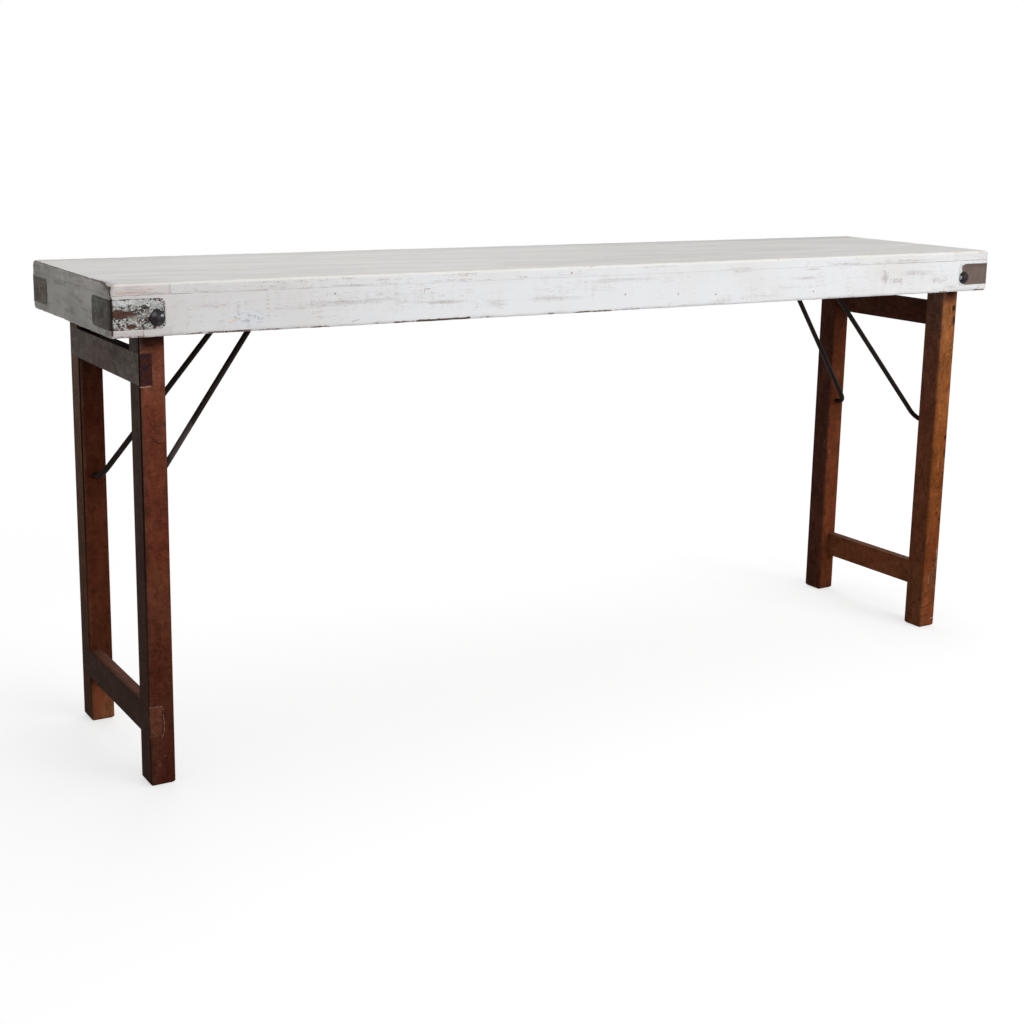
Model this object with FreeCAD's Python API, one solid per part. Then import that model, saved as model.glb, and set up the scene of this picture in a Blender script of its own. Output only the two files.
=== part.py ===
import FreeCAD, Part
import math
import os

V = FreeCAD.Vector

# A console table on two leg frames that fold up inside its skirt. X runs along the table, Y from
# front to rear and Z up, in millimetres, with the origin on the floor under the middle of the table.
# Every piece is made for the front left corner or the left end, and mirrored to the others.

# Top and skirt
table_length = 1800.0
table_depth = 416.0
table_height = 790.0
board_thickness = 18.0
front_board_width = 146.0
middle_board_width = 130.0
skirt_depth = 62.0
side_rail_thickness = 27.0
end_rail_thickness = 22.0
corner_radius = 8.0
top_edge_radius = 5.0
skirt_edge_radius = 5.0
seam_ease = 0.6
batten_width = 60.0
batten_thickness = 20.0
batten_ease = 3.0

# Corner irons: flat straps bent round the corners and let into the skirt
iron_thickness = 2.5
iron_proud = 0.5
iron_height = 45.0
iron_above_skirt_edge = 12.0
iron_side_length = 82.0
iron_end_length = 85.0
iron_tip_radius = 8.0
iron_nail_from_corner = 35.0
iron_nail_head_width = 7.0
iron_nail_shank_width = 5.0
iron_nail_thickness = 4.0
iron_nail_length = 30.0

# Pivot bolts
pivot_from_end = 70.0
pivot_below_top = 52.0
bolt_radius = 5.0
bolt_head_radius = 12.0
bolt_head_height = 9.0
bolt_head_rim = 1.5
bolt_tip_length = 3.0
bolt_bore_clearance = 0.05
leg_bore_clearance = 0.08
washer_radius = 12.0
washer_thickness = 2.5
washer_running_gap = 0.25
nut_across_flats = 17.0
nut_height = 8.0

# Leg frames
leg_width = 40.0
leg_depth = 45.0
leg_edge_radius = 2.5
foot_chamfer = 4.0
leg_top_gap = 1.0
fold_clearance = 0.5
frame_rail_thickness = 20.0
upper_rail_height = 48.0
upper_rail_below_skirt = 28.0
stretcher_height = 48.0
stretcher_above_floor = 81.0
frame_nail_head_width = 6.5
frame_nail_shank_width = 4.5
frame_nail_thickness = 3.5
frame_nail_length = 36.0
frame_nail_inset = 12.0

# Braces: one rod each, with a pin at each foot and a crossbar that hooks into a keeper
rod_radius = 4.75
brace_pivot_height = 434.0
brace_angle = 52.5
brace_half_width_at_pins = 106.4
brace_taper_angle = 7.3
brace_foot_bend_radius = 26.0
brace_head_bend_radius = 18.0
brace_pin_depth = 20.0
brace_pin_clearance = 0.08
brace_pin_end_gap = 2.0

# Keepers and their cleats
cleat_thickness = 24.0
cleat_width = 200.0
cleat_beyond_crossbar = 16.0
cleat_beyond_keeper = 10.0
cleat_ease = 3.0
keeper_thickness = 4.0
keeper_width = 30.0
keeper_plate_length = 84.0
keeper_bend_radius = 2.0
keeper_lip_angle = 40.0
keeper_tip_radius = 8.0
keeper_throat_clearance = 1.0
keeper_head_clearance = 2.25
keeper_screw_radius = 2.25
keeper_screw_head_radius = 4.5
keeper_screw_into_board = 10.0
keeper_screw_spacing = 40.0
keeper_screw_from_tip = 18.0

# Cut nails
nail_head_thickness = 1.2
nail_tip_share = 0.4

# Sizes that follow
end_x = table_length / 2
front_y = table_depth / 2
board_underside = table_height - board_thickness
skirt_bottom = board_underside - skirt_depth
rail_inner_y = front_y - side_rail_thickness
pivot_x = -end_x + pivot_from_end
pivot_z = table_height - pivot_below_top
iron_bottom = skirt_bottom + iron_above_skirt_edge
iron_face_y = front_y + iron_proud
leg_outer_y = rail_inner_y - washer_thickness - washer_running_gap
leg_inner_y = leg_outer_y - leg_depth
leg_outer_x = pivot_x - leg_width / 2
leg_inner_x = pivot_x + leg_width / 2
headroom = board_underside - pivot_z
upper_rail_top = skirt_bottom - upper_rail_below_skirt
nut_seat_y = leg_inner_y - washer_running_gap - washer_thickness
cleat_bottom = board_underside - cleat_thickness
crossbar_z = cleat_bottom - keeper_head_clearance - rod_radius
brace_length = (crossbar_z - brace_pivot_height) / math.sin(math.radians(brace_angle))
crossbar_x = pivot_x + brace_length * math.cos(math.radians(brace_angle))
throat_radius = rod_radius + keeper_throat_clearance
keeper_plate_start = crossbar_x + throat_radius + keeper_thickness + keeper_bend_radius
keeper_plate_end = keeper_plate_start + keeper_plate_length


def box(x0, x1, y0, y1, z0, z1):
    return Part.makeBox(x1 - x0, y1 - y0, z1 - z0, V(x0, y0, z0))


def near(value, target):
    return abs(value - target) < 0.01


def edges_at(shape, x=None, y=None, z=None):
    """Edges with every end and middle on the given planes."""
    found = []
    for edge in shape.Edges:
        middle = edge.valueAt((edge.FirstParameter + edge.LastParameter) / 2)
        points = [vertex.Point for vertex in edge.Vertexes] + [middle]
        on_x = x is None or all(near(point.x, x) for point in points)
        on_y = y is None or all(near(point.y, y) for point in points)
        on_z = z is None or all(near(point.z, z) for point in points)
        if on_x and on_y and on_z:
            found.append(edge)
    return found


def face_of(edges):
    return Part.Face(Part.Wire(edges))


def line(a, b):
    return Part.LineSegment(a, b).toShape()


def arc(a, middle, b):
    return Part.Arc(a, middle, b).toShape()


def round_point(centre_x, centre_z, radius, angle):
    """A point on a circle in the XZ plane, at an angle in degrees from +X towards +Z."""
    turn = math.radians(angle)
    return V(centre_x + radius * math.cos(turn), 0, centre_z + radius * math.sin(turn))


def to_corner(shape, right, rear):
    """Mirror a piece of the front left corner to another corner."""
    placed = shape
    if right:
        placed = placed.mirror(V(0, 0, 0), V(1, 0, 0))
    if rear:
        placed = placed.mirror(V(0, 0, 0), V(0, 1, 0))
    return placed


def save(name, *solids):
    shape = solids[0] if len(solids) == 1 else Part.makeCompound(list(solids))
    shape.exportStep(f"parts/{name}.step")


def along_y(shape, x, y, z):
    """Turn a piece made along +Z to run along +Y, and move it."""
    turned = shape.copy()
    turned.rotate(V(0, 0, 0), V(1, 0, 0), -90)
    turned.translate(V(x, y, z))
    return turned


def along_x(shape, x, y, z):
    """Turn a piece made along +Z to run along +X, and move it."""
    turned = shape.copy()
    turned.rotate(V(0, 0, 0), V(0, 1, 0), 90)
    turned.translate(V(x, y, z))
    return turned


def corner_iron_blank():
    """The strap of the front left corner without its holes: an L in plan with a rounded corner,
    and round tips."""
    outer = corner_radius + iron_proud
    inner = outer - iron_thickness
    centre = V(-end_x + corner_radius, -front_y + corner_radius, iron_bottom)
    diagonal = V(-math.sqrt(0.5), -math.sqrt(0.5), 0)
    side_tip = -end_x + iron_side_length
    end_tip = -front_y + iron_end_length
    outer_side = centre + V(0, -outer, 0)
    outer_end = centre + V(-outer, 0, 0)
    inner_side = centre + V(0, -inner, 0)
    inner_end = centre + V(-inner, 0, 0)
    outline = [
        line(V(side_tip, outer_side.y, iron_bottom), outer_side),
        arc(outer_side, centre + diagonal * outer, outer_end),
        line(outer_end, V(outer_end.x, end_tip, iron_bottom)),
        line(V(outer_end.x, end_tip, iron_bottom), V(inner_end.x, end_tip, iron_bottom)),
        line(V(inner_end.x, end_tip, iron_bottom), inner_end),
        arc(inner_end, centre + diagonal * inner, inner_side),
        line(inner_side, V(side_tip, inner_side.y, iron_bottom)),
        line(V(side_tip, inner_side.y, iron_bottom), V(side_tip, outer_side.y, iron_bottom)),
    ]
    strap = face_of(outline).extrude(V(0, 0, iron_height))
    iron_top = iron_bottom + iron_height
    tips = []
    for level in (iron_bottom, iron_top):
        tips += edges_at(strap, x=side_tip, z=level)
        tips += edges_at(strap, y=end_tip, z=level)
    return strap.makeFillet(iron_tip_radius, tips)


def cut_nail(head_width, shank_width, thickness, length):
    """A nail cut from plate, along +Z with the top of its head at the origin. Its shank narrows
    towards a blunt tip, and its sides are parallel."""
    head = head_width / 2
    shank = shank_width / 2
    tip = shank * nail_tip_share
    outline = Part.makePolygon([
        V(-head, 0, 0),
        V(head, 0, 0),
        V(head, 0, nail_head_thickness),
        V(shank, 0, nail_head_thickness),
        V(tip, 0, length),
        V(-tip, 0, length),
        V(-shank, 0, nail_head_thickness),
        V(-head, 0, nail_head_thickness),
        V(-head, 0, 0),
    ])
    nail = Part.Face(outline).extrude(V(0, thickness, 0))
    nail.translate(V(0, -thickness / 2, 0))
    return nail


def iron_nail():
    """The nail in the end of a corner iron."""
    nail = cut_nail(iron_nail_head_width, iron_nail_shank_width, iron_nail_thickness, iron_nail_length)
    return along_x(
        nail, -end_x - iron_proud, -front_y + iron_nail_from_corner, iron_bottom + iron_height / 2
    )


def pivot_bolt():
    """A bolt with a domed head, turned about its own axis."""
    reach = iron_face_y - nut_seat_y + nut_height + bolt_tip_length
    cap_rise = bolt_head_height - bolt_head_rim
    cap_radius = (bolt_head_radius ** 2 + cap_rise ** 2) / (2 * cap_rise)
    half_cap = math.asin(bolt_head_radius / cap_radius) / 2
    crown = V(0, 0, -bolt_head_height)
    cap_middle = crown + V(cap_radius * math.sin(half_cap), 0, cap_radius * (1 - math.cos(half_cap)))
    rim_edge = V(bolt_head_radius, 0, -bolt_head_rim)
    outline = [
        arc(crown, cap_middle, rim_edge),
        line(rim_edge, V(bolt_head_radius, 0, 0)),
        line(V(bolt_head_radius, 0, 0), V(bolt_radius, 0, 0)),
        line(V(bolt_radius, 0, 0), V(bolt_radius, 0, reach)),
        line(V(bolt_radius, 0, reach), V(0, 0, reach)),
        line(V(0, 0, reach), crown),
    ]
    bolt = face_of(outline).revolve(V(0, 0, 0), V(0, 0, 1), 360)
    return along_y(bolt, pivot_x, -iron_face_y, pivot_z)


def pivot_bore(radius):
    """A bore on the pivot axis, from outside the skirt to inside the leg."""
    return Part.makeCylinder(radius, front_y, V(pivot_x, -front_y - iron_proud, pivot_z), V(0, 1, 0))


def washer(outer_face_y):
    disc = Part.makeCylinder(washer_radius, washer_thickness, V(pivot_x, outer_face_y, pivot_z), V(0, 1, 0))
    return disc.cut(pivot_bore(bolt_radius + bolt_bore_clearance))


def pivot_nut():
    """A hexagon nut whose corners are turned off at a slope, as on a real one."""
    corner = nut_across_flats / math.sqrt(3)
    points = [V(corner * math.cos(math.radians(a)), corner * math.sin(math.radians(a)), 0)
              for a in range(0, 361, 60)]
    prism = Part.Face(Part.makePolygon(points)).extrude(V(0, 0, nut_height))
    turned_off = corner - nut_across_flats / 2
    flat = nut_across_flats / 2
    bevel = Part.Face(Part.makePolygon([
        V(0, 0, 0),
        V(corner, 0, 0),
        V(corner, 0, nut_height - turned_off),
        V(flat, 0, nut_height),
        V(0, 0, nut_height),
        V(0, 0, 0),
    ])).revolve(V(0, 0, 0), V(0, 0, 1), 360)
    nut = along_y(prism.common(bevel), pivot_x, -nut_seat_y, pivot_z)
    return nut.cut(pivot_bore(bolt_radius + bolt_bore_clearance))


def edge_board(width):
    """A board that lies along the front edge: corners rounded in plan, then its top edge all round."""
    board = box(-end_x, end_x, -front_y, -front_y + width, board_underside, table_height)
    upright = edges_at(board, x=-end_x, y=-front_y) + edges_at(board, x=end_x, y=-front_y)
    board = board.makeFillet(corner_radius, upright)
    for level, radius in ((table_height, top_edge_radius), (board_underside, seam_ease)):
        rim = [edge for edge in edges_at(board, z=level)
               if not near(edge.CenterOfMass.y, -front_y + width)]
        board = board.makeFillet(radius, rim)
    return board


def middle_board():
    board = box(
        -end_x, end_x, -front_y + front_board_width, -front_y + front_board_width + middle_board_width,
        board_underside, table_height
    )
    for level, radius in ((table_height, top_edge_radius), (board_underside, seam_ease)):
        ends = edges_at(board, x=-end_x, z=level) + edges_at(board, x=end_x, z=level)
        board = board.makeFillet(radius, ends)
    return board


def side_rail(iron_rebates):
    """The long rail of the front, its end grain showing at both ends."""
    rail = box(-end_x, end_x, -front_y, -rail_inner_y, skirt_bottom, board_underside)
    upright = edges_at(rail, x=-end_x, y=-front_y) + edges_at(rail, x=end_x, y=-front_y)
    rail = rail.makeFillet(corner_radius, upright)
    lower = [edge for edge in edges_at(rail, z=skirt_bottom)
             if not near(edge.CenterOfMass.y, -rail_inner_y)]
    rail = rail.makeFillet(skirt_edge_radius, lower)
    bore = pivot_bore(bolt_radius + bolt_bore_clearance)
    return rail.cut([*iron_rebates, bore, to_corner(bore, True, False)])


def end_rail(iron_rebates, nails):
    """The short rail of the left end, set between the side rails."""
    rail = box(
        -end_x, -end_x + end_rail_thickness, -rail_inner_y, rail_inner_y, skirt_bottom, board_underside
    )
    rail = rail.makeFillet(skirt_edge_radius, edges_at(rail, x=-end_x, z=skirt_bottom))
    return rail.cut([*iron_rebates, *nails])


def centre_batten():
    batten = box(
        -batten_width / 2, batten_width / 2, -rail_inner_y, rail_inner_y,
        board_underside - batten_thickness, board_underside
    )
    lower = edges_at(batten, x=-batten_width / 2, z=board_underside - batten_thickness)
    lower += edges_at(batten, x=batten_width / 2, z=board_underside - batten_thickness)
    return batten.makeChamfer(batten_ease, lower)


def leg():
    """The front left leg. Its top is square on the outer side, where it stops against the boards,
    and on the inner side it is an arc about the pivot, so that it clears them as it folds."""
    top_z = board_underside - leg_top_gap
    fold_radius = headroom - fold_clearance
    flat_end = math.sqrt(fold_radius ** 2 - (top_z - pivot_z) ** 2)
    arc_end = math.sqrt(fold_radius ** 2 - (leg_width / 2) ** 2)
    flat_angle = math.degrees(math.atan2(top_z - pivot_z, flat_end))
    side_angle = math.degrees(math.atan2(arc_end, leg_width / 2))
    inner_shoulder = V(leg_inner_x, 0, pivot_z + arc_end)
    top_shoulder = V(pivot_x + flat_end, 0, top_z)
    outline = [
        line(V(leg_outer_x, 0, 0), V(leg_inner_x, 0, 0)),
        line(V(leg_inner_x, 0, 0), inner_shoulder),
        arc(inner_shoulder, round_point(pivot_x, pivot_z, fold_radius, (flat_angle + side_angle) / 2),
            top_shoulder),
        line(top_shoulder, V(leg_outer_x, 0, top_z)),
        line(V(leg_outer_x, 0, top_z), V(leg_outer_x, 0, 0)),
    ]
    post = face_of(outline).extrude(V(0, leg_depth, 0))
    post.translate(V(0, -leg_outer_y, 0))
    post = post.makeChamfer(foot_chamfer, edges_at(post, z=0))
    upright = []
    for x in (leg_outer_x, leg_inner_x):
        for y in (-leg_outer_y, -leg_inner_y):
            upright += edges_at(post, x=x, y=y)
    post = post.makeFillet(leg_edge_radius, upright)
    beyond = leg_depth
    for bottom, height in ((upper_rail_top - upper_rail_height, upper_rail_height),
                           (stretcher_above_floor, stretcher_height)):
        notch = box(leg_outer_x - beyond, leg_outer_x + frame_rail_thickness,
                    -leg_outer_y - beyond, -leg_inner_y + beyond, bottom, bottom + height)
        post = post.cut(notch)
    pin_hole = Part.makeCylinder(
        rod_radius + brace_pin_clearance, brace_pin_depth + brace_pin_end_gap,
        V(pivot_x, -leg_inner_y, brace_pivot_height), V(0, -1, 0)
    )
    return post.cut([pivot_bore(bolt_radius + leg_bore_clearance), pin_hole])


def frame_rail(bottom, height):
    """A rail of the left leg frame: its ends lie in the legs' notches and show on their faces."""
    rail = box(leg_outer_x, leg_outer_x + frame_rail_thickness, -leg_outer_y, leg_outer_y,
               bottom, bottom + height)
    ends = edges_at(rail, x=leg_outer_x, y=-leg_outer_y) + edges_at(rail, x=leg_outer_x, y=leg_outer_y)
    return rail.makeFillet(leg_edge_radius, ends)


def lap_nails(bottom, height, right, rear):
    """Two nails, set slantwise, through one lap of a rail and a leg."""
    nail = cut_nail(frame_nail_head_width, frame_nail_shank_width, frame_nail_thickness, frame_nail_length)
    first = along_x(nail, leg_outer_x, -leg_outer_y + frame_nail_inset, bottom + height - frame_nail_inset)
    second = along_x(nail, leg_outer_x, -leg_inner_y - frame_nail_inset, bottom + frame_nail_inset)
    return [to_corner(first, right, rear), to_corner(second, right, rear)]


def tangent_path(corners, radii):
    """A wire through straight runs, each inner corner rounded by a tangent arc of its radius."""
    edges = []
    start = corners[0]
    for before, corner, after, radius in zip(corners, corners[1:], corners[2:], radii):
        back = (before - corner).normalize()
        ahead = (after - corner).normalize()
        half_inside = back.getAngle(ahead) / 2
        tangent = radius / math.tan(half_inside)
        inward = (back + ahead).normalize()
        centre = corner + inward * (radius / math.sin(half_inside))
        arc_start = corner + back * tangent
        arc_end = corner + ahead * tangent
        edges.append(line(start, arc_start))
        edges.append(arc(arc_start, centre - inward * radius, arc_end))
        start = arc_end
    edges.append(line(start, corners[-1]))
    return Part.Wire(edges)


def brace_rod():
    """The left brace, bent from one rod. It is drawn flat, with its pins on the Y axis and its arms
    along +X, then stood at its slope on the pin holes."""
    pin_tip = leg_inner_y + brace_pin_depth
    head_half_width = brace_half_width_at_pins - brace_length * math.tan(math.radians(brace_taper_angle))
    path = tangent_path(
        [V(0, -pin_tip, 0), V(0, -brace_half_width_at_pins, 0), V(brace_length, -head_half_width, 0),
         V(brace_length, head_half_width, 0), V(0, brace_half_width_at_pins, 0), V(0, pin_tip, 0)],
        [brace_foot_bend_radius, brace_head_bend_radius, brace_head_bend_radius, brace_foot_bend_radius],
    )
    section = Part.Wire([Part.Circle(V(0, -pin_tip, 0), V(0, 1, 0), rod_radius).toShape()])
    rod = path.makePipeShell([section], True, True)
    rod.rotate(V(0, 0, 0), V(0, 1, 0), -brace_angle)
    rod.translate(V(pivot_x, 0, brace_pivot_height))
    return rod


def keeper_cleat():
    cleat = box(
        crossbar_x - cleat_beyond_crossbar, keeper_plate_end + cleat_beyond_keeper,
        -cleat_width / 2, cleat_width / 2, cleat_bottom, board_underside
    )
    return cleat.makeChamfer(cleat_ease, edges_at(cleat, z=cleat_bottom))


def brace_keeper():
    """The left keeper: a flat plate under the cleat that turns down beside the crossbar, on the side
    of the table's middle, and curls under it, so that the crossbar can't slide inwards or drop."""
    hook_radius = throat_radius + keeper_thickness
    bend_x = crossbar_x + hook_radius + keeper_bend_radius
    bend_z = cleat_bottom - keeper_thickness - keeper_bend_radius
    bend_outer = keeper_bend_radius + keeper_thickness
    lip = -90 - keeper_lip_angle

    def on_hook(radius, angle):
        return round_point(crossbar_x, crossbar_z, radius, angle)

    def on_bend(radius, angle):
        return round_point(bend_x, bend_z, radius, angle)

    tip_top = V(keeper_plate_end, 0, cleat_bottom)
    tip_under = V(keeper_plate_end, 0, cleat_bottom - keeper_thickness)
    outline = [
        line(tip_top, on_bend(bend_outer, 90)),
        arc(on_bend(bend_outer, 90), on_bend(bend_outer, 135), on_bend(bend_outer, 180)),
        line(on_bend(bend_outer, 180), on_hook(throat_radius, 0)),
        arc(on_hook(throat_radius, 0), on_hook(throat_radius, lip / 2), on_hook(throat_radius, lip)),
        line(on_hook(throat_radius, lip), on_hook(hook_radius, lip)),
        arc(on_hook(hook_radius, lip), on_hook(hook_radius, lip / 2), on_hook(hook_radius, 0)),
        line(on_hook(hook_radius, 0), on_bend(keeper_bend_radius, 180)),
        arc(on_bend(keeper_bend_radius, 180), on_bend(keeper_bend_radius, 135),
            on_bend(keeper_bend_radius, 90)),
        line(on_bend(keeper_bend_radius, 90), tip_under),
        line(tip_under, tip_top),
    ]
    keeper = face_of(outline).extrude(V(0, keeper_width, 0))
    keeper.translate(V(0, -keeper_width / 2, 0))
    tips = []
    for y in (-keeper_width / 2, keeper_width / 2):
        tips += edges_at(keeper, x=keeper_plate_end, y=y)
    return keeper.makeFillet(keeper_tip_radius, tips)


def keeper_screws():
    """Two countersunk screws that hold a keeper and its cleat up to the boards."""
    plate_bottom = cleat_bottom - keeper_thickness
    length = keeper_thickness + cleat_thickness + keeper_screw_into_board
    outline = Part.makePolygon([
        V(0, 0, 0),
        V(keeper_screw_head_radius, 0, 0),
        V(keeper_screw_radius, 0, keeper_screw_head_radius - keeper_screw_radius),
        V(keeper_screw_radius, 0, length),
        V(0, 0, length),
        V(0, 0, 0),
    ])
    screw = Part.Face(outline).revolve(V(0, 0, 0), V(0, 0, 1), 360)
    screws = []
    for number in range(2):
        placed = screw.copy()
        x = keeper_plate_end - keeper_screw_from_tip - number * keeper_screw_spacing
        placed.translate(V(x, 0, plate_bottom))
        screws.append(placed)
    return screws


def make_top():
    blank = corner_iron_blank()
    nail = iron_nail()
    front_blanks = [blank, to_corner(blank, True, False)]
    front_rail = side_rail(front_blanks)
    left_rail = end_rail([blank, to_corner(blank, False, True)], [nail, to_corner(nail, False, True)])
    save("side_rail_front", front_rail)
    save("side_rail_rear", to_corner(front_rail, False, True))
    save("end_rail_left", left_rail)
    save("end_rail_right", to_corner(left_rail, True, False))

    iron = blank.cut([nail, pivot_bore(bolt_radius + bolt_bore_clearance)])
    for side, right in (("left", False), ("right", True)):
        save(f"corner_iron_front_{side}", to_corner(iron, right, False))
        save(f"corner_iron_rear_{side}", to_corner(iron, right, True))
    corners = [(right, rear) for right in (False, True) for rear in (False, True)]
    save("corner_iron_nails", *[to_corner(nail, *corner) for corner in corners])

    rear_board_width = table_depth - front_board_width - middle_board_width
    keeper_fixings = keeper_screws()
    both_fixings = keeper_fixings + [to_corner(screw, True, False) for screw in keeper_fixings]
    save("top_board_front", edge_board(front_board_width))
    save("top_board_middle", middle_board().cut(both_fixings))
    save("top_board_rear", to_corner(edge_board(rear_board_width), False, True))
    save("centre_batten", centre_batten())

    cleat = keeper_cleat().cut(keeper_fixings)
    keeper = brace_keeper().cut(keeper_fixings)
    for side, right in (("left", False), ("right", True)):
        save(f"keeper_cleat_{side}", to_corner(cleat, right, False))
        save(f"brace_keeper_{side}", to_corner(keeper, right, False))
    save("keeper_screws", *both_fixings)

    bolt = pivot_bolt()
    outer_washer = washer(-rail_inner_y)
    inner_washer = washer(-nut_seat_y - washer_thickness)
    nut = pivot_nut()
    for name, piece in (("pivot_bolts", bolt), ("outer_washers", outer_washer),
                        ("inner_washers", inner_washer), ("pivot_nuts", nut)):
        save(name, *[to_corner(piece, *corner) for corner in corners])


def make_leg_frames():
    upper_bottom = upper_rail_top - upper_rail_height
    for side, right in (("left", False), ("right", True)):
        front_nails = []
        rear_nails = []
        for bottom, height in ((upper_bottom, upper_rail_height),
                               (stretcher_above_floor, stretcher_height)):
            front_nails += lap_nails(bottom, height, right, False)
            rear_nails += lap_nails(bottom, height, right, True)
        nails = front_nails + rear_nails
        post = to_corner(leg(), right, False)
        save(f"leg_front_{side}", post.cut(front_nails))
        save(f"leg_rear_{side}", to_corner(post, False, True).cut(rear_nails))
        upper_rail = to_corner(frame_rail(upper_bottom, upper_rail_height), right, False)
        stretcher = to_corner(frame_rail(stretcher_above_floor, stretcher_height), right, False)
        save(f"upper_rail_{side}", upper_rail.cut(nails))
        save(f"stretcher_{side}", stretcher.cut(nails))
        save(f"frame_nails_{side}", *nails)


def make_braces():
    rod = brace_rod()
    save("brace_rod_left", rod)
    save("brace_rod_right", to_corner(rod, True, False))


os.makedirs("parts", exist_ok=True)
make_top()
make_leg_frames()
make_braces()
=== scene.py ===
from types import SimpleNamespace

import bpy
import numpy as np
from mathutils import Matrix, Vector


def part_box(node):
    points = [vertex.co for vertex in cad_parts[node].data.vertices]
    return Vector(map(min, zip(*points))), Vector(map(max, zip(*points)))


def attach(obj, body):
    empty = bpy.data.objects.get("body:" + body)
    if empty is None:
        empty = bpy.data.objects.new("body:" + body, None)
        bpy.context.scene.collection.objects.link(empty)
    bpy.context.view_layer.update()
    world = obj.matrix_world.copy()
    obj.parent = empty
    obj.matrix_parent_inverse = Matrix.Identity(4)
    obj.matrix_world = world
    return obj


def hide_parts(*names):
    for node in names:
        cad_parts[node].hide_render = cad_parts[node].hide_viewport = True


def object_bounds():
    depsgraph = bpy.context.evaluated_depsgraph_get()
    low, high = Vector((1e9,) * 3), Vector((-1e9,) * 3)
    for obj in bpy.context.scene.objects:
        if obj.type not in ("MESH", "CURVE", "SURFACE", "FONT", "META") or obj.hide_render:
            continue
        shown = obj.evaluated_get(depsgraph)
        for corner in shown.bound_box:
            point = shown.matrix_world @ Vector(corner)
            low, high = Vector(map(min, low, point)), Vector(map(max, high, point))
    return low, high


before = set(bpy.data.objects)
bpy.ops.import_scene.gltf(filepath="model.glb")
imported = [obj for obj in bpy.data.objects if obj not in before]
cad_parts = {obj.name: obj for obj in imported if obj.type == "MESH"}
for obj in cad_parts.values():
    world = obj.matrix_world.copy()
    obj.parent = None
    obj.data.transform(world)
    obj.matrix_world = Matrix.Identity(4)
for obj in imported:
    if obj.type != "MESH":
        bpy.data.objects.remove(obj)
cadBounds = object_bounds()
mm = 0.001
print("frame loaded:", len(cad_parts), "nodes")


def colour(red, green, blue):
    # a screen colour, 0 to 255, as the linear values that a socket takes
    parts = np.array([red, green, blue]) / 255
    linear = np.where(parts <= 0.04045, parts / 12.92, ((parts + 0.055) / 1.055) ** 2.4)
    return (*linear.tolist(), 1.0)


class Field:
    # one output socket: sums of Fields add Math nodes, and node() adds any kind of shader node
    def __init__(self, tree, out):
        self.tree = tree
        self.out = out

    def node(self, kind, settings, inputs, out=0):
        made = self.tree.nodes.new("ShaderNode" + kind)
        for name, value in settings.items():
            if name == "stops":
                stops = made.color_ramp.elements
                for number, (place, shade) in enumerate(value):
                    stop = stops[number] if number < 2 else stops.new(place)
                    stop.position = place
                    stop.color = shade
            else:
                setattr(made, name, value)
        for name, value in inputs.items():
            if isinstance(value, Field):
                self.tree.links.new(value.out, made.inputs[name])
            else:
                made.inputs[name].default_value = value
        return Field(self.tree, made.outputs[out]) if made.outputs else None

    def math(self, operation, first, second=0.0):
        return self.node("Math", {"operation": operation}, {0: first, 1: second})

    def __add__(self, other):
        return self.math("ADD", self, other)

    def __sub__(self, other):
        return self.math("SUBTRACT", self, other)

    def __rsub__(self, other):
        return self.math("SUBTRACT", other, self)

    def __mul__(self, other):
        return self.math("MULTIPLY", self, other)

    __radd__ = __add__
    __rmul__ = __mul__

    def least(self, other):
        return self.math("MINIMUM", self, other)

    def most(self, other):
        return self.math("MAXIMUM", self, other)

    def size(self):
        return self.math("ABSOLUTE", self)

    def between(self, low, high):
        # 0 at low and 1 at high, smooth in between; low may be the larger one
        first, last, start, end = (low, high, 0.0, 1.0) if low < high else (high, low, 1.0, 0.0)
        return self.node(
            "MapRange", {"interpolation_type": "SMOOTHSTEP"},
            {"Value": self, "From Min": first, "From Max": last, "To Min": start, "To Max": end})


def strongest(fields):
    # the largest of several fields, point by point
    largest = fields[0]
    for field in fields[1:]:
        largest = largest.most(field)
    return largest


def metres(places):
    return tuple(place * mm for place in places)


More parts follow.
